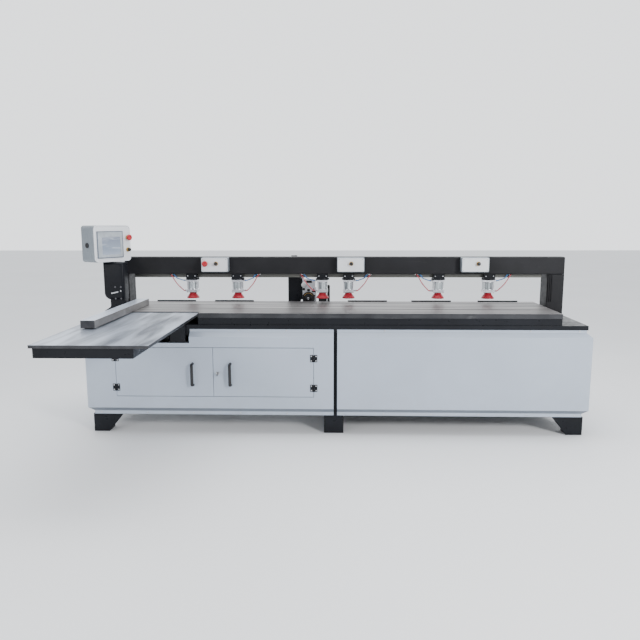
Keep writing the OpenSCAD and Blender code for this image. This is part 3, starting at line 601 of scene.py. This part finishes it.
def add_pan_head(mesh, place_point, radius=6.5, height=3.4, axis="y", out=-1):
    """A domed screw head with a hexagon socket, standing out of a face."""
    h = height * out
    add_lathe(mesh, place_point, axis, [
        (radius, 0), (radius, h * 0.35), (radius * 0.86, h * 0.8), (radius * 0.5, h), (radius * 0.42, h),
        (radius * 0.40, h * 0.35), (0, h * 0.35),
    ], sides=24)


def add_hex_head(mesh, place_point, radius, height, axis="z", out=1):
    """A hexagon head on its washer."""
    h = height * out
    add_lathe(mesh, place_point, axis, [
        (radius * 1.15, 0), (radius * 1.15, h * 0.15), (radius, h * 0.15), (radius, h * 0.9),
        (radius * 0.85, h), (0, h),
    ], sides=6)


SCREW_COUNT, SCREW_FIRST, SCREW_STEP = 5, 356, 348
SCREW_LEVELS = (151, 774)
SCREW_HEIGHT = 3
NOTCH = (-1640, -1064)


def cover_screws():
    """Screws along the covers' flanges, with none where the notch under the side table is."""
    mesh = bmesh.new()
    low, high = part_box("cover_screws")
    front = (low - ORIGIN).y / MM + SCREW_HEIGHT
    back = (high - ORIGIN).y / MM - SCREW_HEIGHT
    for k in range(SCREW_COUNT):
        for side in (-1, 1):
            x = side * (SCREW_FIRST + SCREW_STEP * k)
            for z in SCREW_LEVELS:
                if not (z == SCREW_LEVELS[1] and NOTCH[0] < x < NOTCH[1]):
                    add_pan_head(mesh, (x, front, z), height=SCREW_HEIGHT)
                add_pan_head(mesh, (x, back, z), height=SCREW_HEIGHT, out=1)
    sharpen(finished("cover_screw_heads", mesh, FINISH["zinc_steel"], "machine",
                     ("cover_screws",)))


# ---------------------------------------------------------------- clamps

CLAMPS = (-1163, -795, -109, 101, 819, 1218)
HOSE_SIDES = (-1, 1, -1, 1, -1, 1)
CLAMP_Y = 600
RED_LEVEL, BLUE_LEVEL = 1005, 1087
FITTING_REACH = 61
HOSE_RADIUS = 4
HOSE_START = 65.2
RAIL_GAP = (1130 + 1143) / 2
HOSE_END_Y = 650 + 26 + 16.2
ROD_PROFILE = ((0, 980), (10, 980), (10, 1064), (33.4, 1064.3), (33.4, 1077.5), (0, 1077.5))
BAND_PROFILE = ((37, -3), (41.4, -3), (42, -2), (42, 2), (41.4, 3), (37, 3))
SLEEVE_PROFILE = ((38, 1015.5), (40, 1016), (40, 1079), (38, 1079.5))
CUP_PROFILE = (
    (10.3, 989.5), (24, 989.8), (27.3, 988.5), (28, 986.5), (28, 983), (27.2, 981), (28.5, 979.5),
    (31, 978), (32.5, 976.5), (33.2, 974.5), (36, 971.5), (38.4, 968.5), (39.4, 966), (40.8, 963.5),
    (44.4, 959.8), (47.2, 956), (48.4, 953.6), (50.2, 950.6), (50.8, 948), (50.4, 945.6), (49, 944.2),
    (46.6, 944.3), (44.6, 946.3), (41, 949.4), (34, 950.0), (12, 950.0), (0, 950.0),
)


def clamp_feet():
    """The red cups, and the rods with their pistons."""
    for n, x in enumerate(CLAMPS, start=1):
        body = f"clamp_{n}"
        mesh = bmesh.new()
        add_lathe(mesh, (x, CLAMP_Y, 0), "z", CUP_PROFILE, sides=72)
        cup = finished(f"clamp_cup_{n}", mesh, FINISH["cup_rubber"], body, (f"clamp_foot_{n}",))
        sharpen(cup, 50)
        mesh = bmesh.new()
        add_lathe(mesh, (x, CLAMP_Y, 0), "z", ROD_PROFILE)
        sharpen(finished(f"clamp_rod_{n}", mesh, FINISH["chrome"], body))


def clamp_details():
    """Bolts on the mounts, nuts on the tie rods, coloured rings on the fittings, and the barrels' skins with
    painted reflection streaks.
    """
    bolts = bmesh.new()
    rings = {"red_plastic": bmesh.new(), "blue_hose": bmesh.new()}
    bands, sleeves = bmesh.new(), bmesh.new()
    for x, side in zip(CLAMPS, HOSE_SIDES):
        for dx in (-37, 37):
            add_hex_head(bolts, (x + dx, CLAMP_Y - 30, 1106), 7.5, 6)
            add_pan_head(bolts, (x + dx * 0.8, CLAMP_Y - 42, 1125), radius=5, height=4)
        for a in (-36, 36):
            for b in (-36, 36):
                add_hex_head(bolts, (x + a, CLAMP_Y + b, 995), 5.2, 3.8, out=-1)
        for slot_name, z in (("blue_hose", BLUE_LEVEL), ("red_plastic", RED_LEVEL)):
            add_lathe(rings[slot_name], (x + side * FITTING_REACH, CLAMP_Y, z), "x", [
                (0, 0), (6.8, 0), (7.2, side * 0.8), (7.2, side * 3.2), (6.2, side * 4), (4.4, side * 4),
                (0, side * 4),
            ], sides=28)
        for z in (1018, 1077):
            add_lathe(bands, (x, CLAMP_Y, z), "z", BAND_PROFILE, sides=56)
        add_lathe(sleeves, (x, CLAMP_Y, 0), "z", SLEEVE_PROFILE, sides=64)
    sharpen(finished("clamp_bolts", bolts, FINISH["zinc_steel"], "machine"))
    for slot_name, mesh in rings.items():
        sharpen(finished(f"fitting_rings_{slot_name}", mesh, FINISH[slot_name], "machine"))
    sharpen(finished("barrel_bands", bands, FINISH["aluminium"], "machine"))
    sharpen(finished("barrel_sleeves", sleeves, BARREL_REFLECTION_STREAKS, "machine"))


def hose_route(x, side, low, high, reach):
    """The same points as the CAD hose: out of the elbow, over the rail, and up behind the beam."""
    start = x + side * HOSE_START
    end_x = x + side * reach
    rise = RAIL_GAP - low
    return [Vector(p) for p in (
        (start, CLAMP_Y, low), (start + side * 8, CLAMP_Y, low),
        (start + side * 30, CLAMP_Y - 6, low + 0.16 * rise),
        (start + side * 62, CLAMP_Y - 14, low + 0.44 * rise),
        (end_x - side * 14, CLAMP_Y - 16, low + 0.86 * rise),
        (end_x, CLAMP_Y - 4, RAIL_GAP), (end_x, CLAMP_Y + 42, RAIL_GAP),
        (end_x, HOSE_END_Y + 14, RAIL_GAP + 16), (end_x, HOSE_END_Y + 24, (RAIL_GAP + high) / 2),
        (end_x, HOSE_END_Y + 18, high - 8), (end_x, HOSE_END_Y + 8, high), (end_x, HOSE_END_Y, high),
    )]


def air_hoses():
    for colour, low, high, reach in (("red", RED_LEVEL, 1253, 175), ("blue", BLUE_LEVEL, 1203, 155)):
        mesh = bmesh.new()
        slot_name = f"{colour}_hose"
        for x, side in zip(CLAMPS, HOSE_SIDES):
            add_tube(mesh, smooth_route(hose_route(x, side, low, high, reach)), HOSE_RADIUS)
        finished(f"{colour}_air_hoses", mesh, FINISH[slot_name], "machine", (f"{colour}_hoses",))


# ---------------------------------------------------------------- push buttons and boxes

BEAM_BOXES = (-959, 116, 1088)
BEAM_BUTTONS = {"box_estop": (-1031, "beam_estop"), "box_button_1": (-947, "beam_button_1"),
                "box_button_2": (120, "beam_button_2"), "box_button_3": (1110, "beam_button_3")}
BOX_FRONT = 480
BUTTON_LEVEL = 1229

# Radius, and distance along Y from the face the button stands on
COLLAR_PROFILE = ((8.2, 0), (17, 0), (17, -3), (15.6, -4.2), (15.6, -10.2), (14.6, -11.8), (9.0, -11.8),
                  (8.2, -11), (8.2, 0))
ESTOP_PROFILE = ((7.9, 12), (7.9, -17.6), (14, -18), (22.4, -19), (23, -21), (23, -26.5), (21.8, -30.2),
                 (18.5, -32.5), (13, -33), (9.5, -32.2), (0, -31.6))
BUTTON_PROFILE = ((7.9, 12), (7.9, -17.8), (12.6, -18), (13, -18.6), (13, -24.5), (12.2, -26.2), (9.5, -27),
                  (0, -26.7))


def box_outline(x, low, width, height):
    return rounded_outline(x, low, width, height, 8, 3)


def button_boxes():
    bodies, lids, screws, collars = bmesh.new(), bmesh.new(), bmesh.new(), bmesh.new()
    for x in BEAM_BOXES:
        add_outline(bodies, box_outline(x, 1162, 215, 116), BOX_FRONT + 8, 550)
        add_outline(lids, box_outline(x, 1167, 205, 106), BOX_FRONT + 1.5, BOX_FRONT + 8)
        add_rim(lids, box_outline(x, 1167, 205, 106), box_outline(x, 1173, 193, 94), BOX_FRONT, BOX_FRONT + 2)
        for dx in (-92, 92):
            for z in (1178, 1262):
                add_pan_head(screws, (x + dx, BOX_FRONT, z), radius=4, height=2)
    for x, _ in BEAM_BUTTONS.values():
        add_lathe(collars, (x, BOX_FRONT, BUTTON_LEVEL), "y", COLLAR_PROFILE, sides=40)
    box = finished("box_castings", bodies, GREY_CASE, "machine", ("button_boxes",))
    rounded(box, 2, 3)
    rounded(finished("box_lids", lids, WHITE_FACE, "machine"), 0.6, 2)
    sharpen(finished("box_screws", screws, FINISH["zinc_steel"], "machine"))
    sharpen(finished("box_collars", collars, BRASS, "machine"))


def push_button(name, place_point, profile, finish, body, place=at):
    mesh = bmesh.new()
    add_lathe(mesh, place_point, "y", profile, sides=48, place=place)
    sharpen(finished(f"{name}_cap", mesh, finish, body, (name,)), 45)


def beam_buttons():
    for name, (x, body) in BEAM_BUTTONS.items():
        stop = name == "box_estop"
        slot_name = "red_plastic" if stop else "black_plastic"
        push_button(name, (x, BOX_FRONT, BUTTON_LEVEL), ESTOP_PROFILE if stop else BUTTON_PROFILE,
                    FINISH[slot_name], body)


# ---------------------------------------------------------------- console

HMI_X, HMI_Y, HMI_TURN = -1767, 355, math.radians(60)
HMI_WIDTH, HMI_DEPTH, HMI_HEIGHT, HMI_BOTTOM = 342, 148, 275, 1255
HMI_FACE = -HMI_DEPTH / 2
HMI_PLATE = HMI_FACE - 6
HMI_BUTTON_X = 140
HMI_ESTOP_Z, HMI_BUTTON_Z = HMI_BOTTOM + 182, HMI_BOTTOM + 88
SCREEN_LOW, SCREEN_HIGH = (-148, HMI_BOTTOM + 30), (94, HMI_BOTTOM + 232)
BEZEL_LOW, BEZEL_HIGH = (SCREEN_LOW[0] + 7, SCREEN_LOW[1] + 6), (SCREEN_HIGH[0] - 7, SCREEN_HIGH[1] - 6)
GLASS_LOW, GLASS_HIGH = (-103, HMI_BOTTOM + 56), (68, HMI_BOTTOM + 188)


def on_console(x, y, z):
    """A point given across the screen, back from its middle, and up from the floor."""
    c, s = math.cos(HMI_TURN), math.sin(HMI_TURN)
    return at(HMI_X + x * c - y * s, HMI_Y + x * s + y * c, z)


def console_case():
    """The grey housing, kept inside its CAD box, its swivel ring, and the white front plate."""
    mesh = bmesh.new()
    outline = rounded_outline(0, HMI_BOTTOM, HMI_WIDTH, HMI_HEIGHT, 30)
    add_outline(mesh, outline, HMI_FACE, -HMI_FACE, on_console)
    cad_low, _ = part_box("hmi_housing")
    for corner in mesh.verts:
        corner.co.x = max(corner.co.x, cad_low.x)
    housing = finished("console_housing", mesh, GREY_CASE, "console", ("hmi_housing",))
    rounded(housing, 4, 3)
    mesh = bmesh.new()
    ring = [(31, -4), (46, -4), (46, 2), (31, 2), (31, -4)]
    add_lathe(mesh, (0, 0, HMI_BOTTOM), "z", ring, sides=48, place=on_console)
    sharpen(finished("console_swivel_ring", mesh, FINISH["black_plastic"], "console"))

    mesh = bmesh.new()
    outer = rounded_outline(0, HMI_BOTTOM + 1, HMI_WIDTH - 2, HMI_HEIGHT - 2, 29)
    inner = rounded_outline(0, HMI_BOTTOM + 9, HMI_WIDTH - 18, HMI_HEIGHT - 18, 22)
    add_outline(mesh, outer, HMI_PLATE + 1.5, HMI_FACE + 1, on_console)
    add_rim(mesh, outer, inner, HMI_PLATE, HMI_PLATE + 2, on_console)
    plate = finished("console_front_plate", mesh, WHITE_FACE, "console", ("hmi_front",))
    rounded(plate, 1.2, 2)


def console_screen():
    """The slate edge, the grey surround and the glass of the touch panel."""
    mesh = bmesh.new()
    add_frame(mesh, SCREEN_LOW, SCREEN_HIGH, BEZEL_LOW, BEZEL_HIGH, HMI_PLATE - 5, HMI_PLATE + 1)
    rounded(finished("screen_edge", mesh, SLATE, "console", ("hmi_screen",)), 1, 2)
    mesh = bmesh.new()
    add_frame(mesh, BEZEL_LOW, BEZEL_HIGH, GLASS_LOW, GLASS_HIGH, HMI_PLATE - 4.2, HMI_PLATE + 1)
    rounded(finished("screen_surround", mesh, FINISH["screen"], "console"), 1.5, 2)
    mesh = bmesh.new()
    low = (GLASS_LOW[0] - 2, HMI_PLATE - 2.4, GLASS_LOW[1] - 2)
    high = (GLASS_HIGH[0] + 2, HMI_PLATE + 0.5, GLASS_HIGH[1] + 2)
    add_box(mesh, low, high, on_console)
    rounded(finished("screen_glass", mesh, GLASS, "console"), 0.6)


def console_controls():
    """The two brass collars with their caps, and the gland on the left side."""
    mesh = bmesh.new()
    for z in (HMI_ESTOP_Z, HMI_BUTTON_Z):
        add_lathe(mesh, (HMI_BUTTON_X, HMI_PLATE, z), "y", COLLAR_PROFILE, sides=40, place=on_console)
    sharpen(finished("console_collars", mesh, BRASS, "console"))
    push_button("hmi_estop", (HMI_BUTTON_X, HMI_PLATE, HMI_ESTOP_Z), ESTOP_PROFILE, FINISH["red_plastic"],
                "console_estop", on_console)
    push_button("hmi_button", (HMI_BUTTON_X, HMI_PLATE, HMI_BUTTON_Z), BUTTON_PROFILE,
                FINISH["black_plastic"], "console_button", on_console)

    mesh = bmesh.new()
    add_lathe(mesh, (-HMI_WIDTH / 2, 5, HMI_BOTTOM + 127), "x", [
        (0, 1), (20, 1), (20, -2.0), (17.5, -3.4), (13, -3.4), (12, -1.0), (0, -1.0),
    ], sides=36, place=on_console)
    sharpen(finished("console_side_gland", mesh, FINISH["black_plastic"], "console"))


def add_frame(mesh, low, high, inner_low, inner_high, front, back):
    """A flat rectangular frame with an opening, on the console's face."""
    rings = [[(a[0], a[1]), (b[0], a[1]), (b[0], b[1]), (a[0], b[1])]
             for a, b in ((low, high), (inner_low, inner_high))]
    verts = {(k, i, y): mesh.verts.new(on_console(p[0], y, p[1]))
             for k, ring in enumerate(rings) for i, p in enumerate(ring) for y in (front, back)}
    for i in range(4):
        n = (i + 1) % 4
        for y in (front, back):
            mesh.faces.new((verts[0, i, y], verts[0, n, y], verts[1, n, y], verts[1, i, y]))
        for k in (0, 1):
            mesh.faces.new((verts[k, i, front], verts[k, n, front], verts[k, n, back], verts[k, i, back]))


def inset(outline, distance):
    """Moves each edge of a closed outline inwards. The outline runs anticlockwise."""
    count = len(outline)
    moved = []
    for k in range(count):
        (ax, az), (bx, bz), (cx, cz) = outline[k - 1], outline[k], outline[(k + 1) % count]
        first = Vector((az - bz, bx - ax)).normalized()
        second = Vector((bz - cz, cx - bx)).normalized()
        bisector = (first + second).normalized()
        shift = bisector * distance / max(0.4, bisector.dot(first))
        moved.append((bx + shift.x, bz + shift.y))
    return moved


def add_soft_front(mesh, outline, front, back, roll):
    """Pushes an outline back along Y with a rolled front edge."""
    rings = []
    for k in range(6):
        angle = math.pi / 2 * k / 5
        shape = inset(outline, roll * (1 - math.sin(angle)))
        rings.append([mesh.verts.new(at(x, front + roll * (1 - math.cos(angle)), z)) for x, z in shape])
    rings.append([mesh.verts.new(at(x, back, z)) for x, z in outline])
    mesh.faces.new(rings[0])
    mesh.faces.new(list(reversed(rings[-1])))
    for a, b in zip(rings, rings[1:]):
        join_rings(mesh, a, b)


def console_post():
    left, right, top, bottom, bend = -1786, -1624, 1249, 962, 52
    curve = [(left + bend - bend * math.cos(a), bottom + bend - bend * math.sin(a))
             for a in (math.pi / 2 * k / 8 for k in range(9))]
    mesh = bmesh.new()
    add_soft_front(mesh, [(right, bottom), (right, top), (left, top)] + curve, 300, 400, 26)
    post = finished("post_housing", mesh, FINISH["black_paint"], "machine", ("console_post",))
    sharpen(post, 50)
    mesh = bmesh.new()
    neck = [(-1741, 968), (-1741, 908), (-1790, 876), (-1790, 816), (right, 816), (right, 968)]
    add_outline(mesh, neck, 312, 388)
    rounded(finished("post_neck", mesh, FINISH["black_paint"], "machine"), 6, 4)
    mesh = bmesh.new()
    add_lathe(mesh, (HMI_X, HMI_Y, 1240), "z", [(0, 0), (30, 0), (30, 24), (0, 24)])
    for x in (-1693, -1650):
        for z in (972, 1062):
            add_pan_head(mesh, (x, 300, z), radius=7, height=3)
    sharpen(finished("post_pin_and_screws", mesh, DIM_STEEL, "machine"))
    mesh = bmesh.new()
    slope = 0.22
    outline = [(-1727, 1008), (-1672, 1008 + 55 * slope), (-1672, 1017 + 55 * slope), (-1727, 1017)]
    add_outline(mesh, outline, 298.4, 300.5)
    add_outline(mesh, rounded_outline(-1652, 1026, 9, 12, 4, 3), 298.4, 300.5)
    rounded(finished("post_slot_plate", mesh, FINISH["zinc_steel"], "machine"), 0.6)


# ---------------------------------------------------------------- doors

HANDLES = (("left_door", -1043), ("right_door", -766))
HANDLE_LOW, HANDLE_HIGH = 367, 538
HANDLE_REACH, HANDLE_BEND = 38, 16
HANDLE_HALF_WIDTH, HANDLE_HALF_DEPTH = 11.5, 6


def handle_route(x):
    """A bow handle's route: out of the door and round the lower bend, then the same mirrored."""
    foot, elbow = HANDLE_LOW + HANDLE_HALF_DEPTH, HANDLE_BEND - HANDLE_REACH
    lower = [Vector((x, -0.5, foot)), Vector((x, elbow, foot))]
    for k in range(1, 6):
        a = math.radians(90 * k / 5)
        lower.append(Vector((x, elbow - HANDLE_BEND * math.sin(a), foot + HANDLE_BEND * (1 - math.cos(a)))))
    return lower + [Vector((p.x, p.y, HANDLE_LOW + HANDLE_HIGH - p.z)) for p in reversed(lower)]


def door_handles():
    for name, x in HANDLES:
        mesh = bmesh.new()
        add_tube(mesh, handle_route(x), HANDLE_HALF_WIDTH, sides=20, depth=HANDLE_HALF_DEPTH)
        for z in (HANDLE_LOW + HANDLE_HALF_DEPTH, HANDLE_HIGH - HANDLE_HALF_DEPTH):
            foot = [(0, -0.2), (10, -0.2), (10, -2.4), (8, -4), (0, -4)]
            add_lathe(mesh, (x, 0, z), "y", foot, sides=28)
        handle = finished(f"{name}_bow", mesh, FINISH["black_plastic"], name,
                          (f"{name}_handle",))
        sharpen(handle, 50)


# Body, X of the hinge line, and the side of that line on which the leaf lies
HINGE_LEAVES = (("machine", -1612.5, -1), ("machine", -157.5, 1), ("left_door", -1612.5, 1),
                ("right_door", -157.5, -1))
HINGE_LEVELS = (353, 575)
HINGE_SCREW_OFFSET = 17


def hinge_screws():
    for body, side_x, out in HINGE_LEAVES:
        mesh = bmesh.new()
        for z in HINGE_LEVELS:
            for dz in (-HINGE_SCREW_OFFSET, HINGE_SCREW_OFFSET):
                add_pan_head(mesh, (side_x + out * HINGE_SCREW_OFFSET, -3, z + dz), radius=5, height=1.6)
        name = f"hinge_screws_{body}_{'left' if side_x < -1000 else 'right'}"
        sharpen(finished(name, mesh, FINISH["zinc_steel"], body))


LOCK_PLACE = (-860, 0, 461)
LOCK_PROFILE = ((0, 20), (8.8, 20), (8.8, -0.6), (13, -0.6), (13, -3.6), (11.4, -5), (7.5, -5), (7, -4.2),
                (0, -4.2))


def lock_face():
    """The round lock with its cam behind the door, and the key's shank and two-sided grip."""
    mesh = bmesh.new()
    add_lathe(mesh, LOCK_PLACE, "y", LOCK_PROFILE, sides=40)
    add_box(mesh, (-861, -19, 457), (-859, -4.1, 465))
    add_box(mesh, (-868, 20.5, 453), (-852, 23.5, 487))
    sharpen(finished("lock_barrel", mesh, FINISH["chrome"], "lock", ("door_lock",)), 40)
    mesh = bmesh.new()
    for x in (-861.6, -858.4):
        add_rim(mesh, rounded_outline(0, 446, 22, 30, 10), rounded_outline(0, 466, 8, 5, 2), x, x + 1,
                lambda side, depth, z: at(depth, side - 26, z))
    rounded(finished("lock_key", mesh, FINISH["black_plastic"], "lock"), 0.3)


# ---------------------------------------------------------------- drill head

SPINDLE = (-232, 921)
CHUCK_FRONT, FEED_MOTOR_FRONT = 742, 762
HEAD_FACE_DEPTH = 8
RING_PROFILE = ((11, -8.6), (20, -8.6), (21, -9.8), (23, -9.8), (24, -8.6), (36.6, -8.6), (38, -6.5),
                (40, -7.5), (50, -7.5), (52, -5.5), (52, 0.5))
CHUCK_PROFILE = ((9, 16), (8.4, 17), (8.4, 19), (9, 20), (9, 41), (14, 41), (22, 43), (26, 44.2), (26, 48.6),
                 (24, 49.5), (9, 49.5), (9, 99), (0, 99))
NOSE_PROFILE = ((5.0, 30), (5.0, 0.6), (5.6, 0), (8.2, 0), (9, 0.8), (9, 16))
FEED_MOTOR_PROFILE = ((0, 0), (12, 0.4), (16.5, 2.4), (17, 5), (17, 9), (20.4, 9.4), (21, 11), (21, 50),
                      (0, 50))

# Corners in X and Z, and how far the near and far faces lie behind the head's face
HEAD_PLATES = (((-282, 984), (-262, 1004), -5, 1), ((-204, 968), (-172, 982), -5, 1),
               ((-262, 1046), (-204, 1066), 7, 13), ((-244, 976), (-220, 996), -6, 1))


def add_arc_plate(mesh, centre, inner, outer, start, stop, front, back, steps=28):
    """A flat arc in X and Z, with angles from +X towards +Z."""
    angles = [math.radians(start + (stop - start) * k / steps) for k in range(steps + 1)]
    outline = [(centre[0] + outer * math.cos(a), centre[1] + outer * math.sin(a)) for a in angles]
    outline += [(centre[0] + inner * math.cos(a), centre[1] + inner * math.sin(a)) for a in reversed(angles)]
    add_outline(mesh, outline, front, back)


def spindle_nose(front, bottom):
    """The black ring round the spindle, flat where it meets the underside of the head, with its gold arc."""
    x, z = SPINDLE
    mesh = bmesh.new()
    add_lathe(mesh, (x, front, z), "y", RING_PROFILE, sides=64)
    for corner in mesh.verts:
        corner.co.z = max(corner.co.z, bottom)
    sharpen(finished("spindle_ring", mesh, FINISH["motor_black"], "head"))
    mesh = bmesh.new()
    add_arc_plate(mesh, SPINDLE, 38.5, 42.5, 25, 155, front - 9, front - 6)
    sharpen(finished("spindle_gold_arc", mesh, BRASS, "head"))


def chuck():
    """The turning chuck: a black turned body and a bright nose."""
    place_point = (SPINDLE[0], CHUCK_FRONT, SPINDLE[1])
    mesh = bmesh.new()
    add_lathe(mesh, place_point, "y", CHUCK_PROFILE, sides=56)
    sharpen(finished("chuck_turned", mesh, FINISH["motor_black"], "spindle",
                     ("spindle_chuck",)))
    mesh = bmesh.new()
    add_lathe(mesh, place_point, "y", NOSE_PROFILE, sides=40)
    sharpen(finished("chuck_nose", mesh, FINISH["chrome"], "spindle"))


def feed_motor():
    low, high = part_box("feed_motor")
    middle = ((low + high) / 2 - ORIGIN) / MM
    mesh = bmesh.new()
    add_lathe(mesh, (middle.x, FEED_MOTOR_FRONT, middle.z), "y", FEED_MOTOR_PROFILE, sides=48)
    sharpen(finished("feed_motor_cap", mesh, WHITE_CAP, "head", ("feed_motor",)))


def drill_head():
    """The front of the head: ring, chuck, motor cap, screws and small black plates."""
    head_low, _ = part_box("head_body")
    front = (head_low - ORIGIN).y / MM + HEAD_FACE_DEPTH
    x, z = SPINDLE
    spindle_nose(front, head_low.z)
    chuck()
    feed_motor()
    mesh = bmesh.new()
    for dx, dz in ((-44, 74), (44, 74), (-44, 20), (53, 20)):
        add_pan_head(mesh, (x + dx, front, z + dz), radius=6, height=5)
    sharpen(finished("head_screws", mesh, FINISH["black_plastic"], "head"))
    mesh = bmesh.new()
    for low, high, near, far in HEAD_PLATES:
        add_box(mesh, (low[0], front + near, low[1]), (high[0], front + far, high[1]))
    rounded(finished("head_black_plates", mesh, FINISH["motor_black"], "head"), 2, 3)


DUCT_PLACE = (-64, 820, 0)
DUCT_LOW, DUCT_RIB, DUCT_RIBS = 868, 6, 24


def cable_duct():
    """A corrugated duct standing on the carriage, with a rounded end."""
    mesh = bmesh.new()
    profile = [(0, DUCT_LOW)]
    for k in range(DUCT_RIBS):
        z = DUCT_LOW + DUCT_RIB * k
        profile += [(10.5, z), (12.8, z + 1.5), (12.8, z + 3.5), (10.5, z + 5)]
    profile += [(12.8, 1013), (12.4, 1019), (9.5, 1026), (5, 1029.5), (0, 1030)]
    add_lathe(mesh, DUCT_PLACE, "z", profile, sides=32)
    duct = finished("corrugated_duct", mesh, FINISH["black_plastic"], "carriage",
                    ("cable_duct",))
    sharpen(duct, 60)


# ---------------------------------------------------------------- build

make_camera()
make_studio()
finish_cad_nodes()
cover_screws()
clamp_feet()
clamp_details()
air_hoses()
button_boxes()
beam_buttons()
console_case()
console_screen()
console_controls()
console_post()
door_handles()
hinge_screws()
lock_face()
drill_head()
cable_duct()
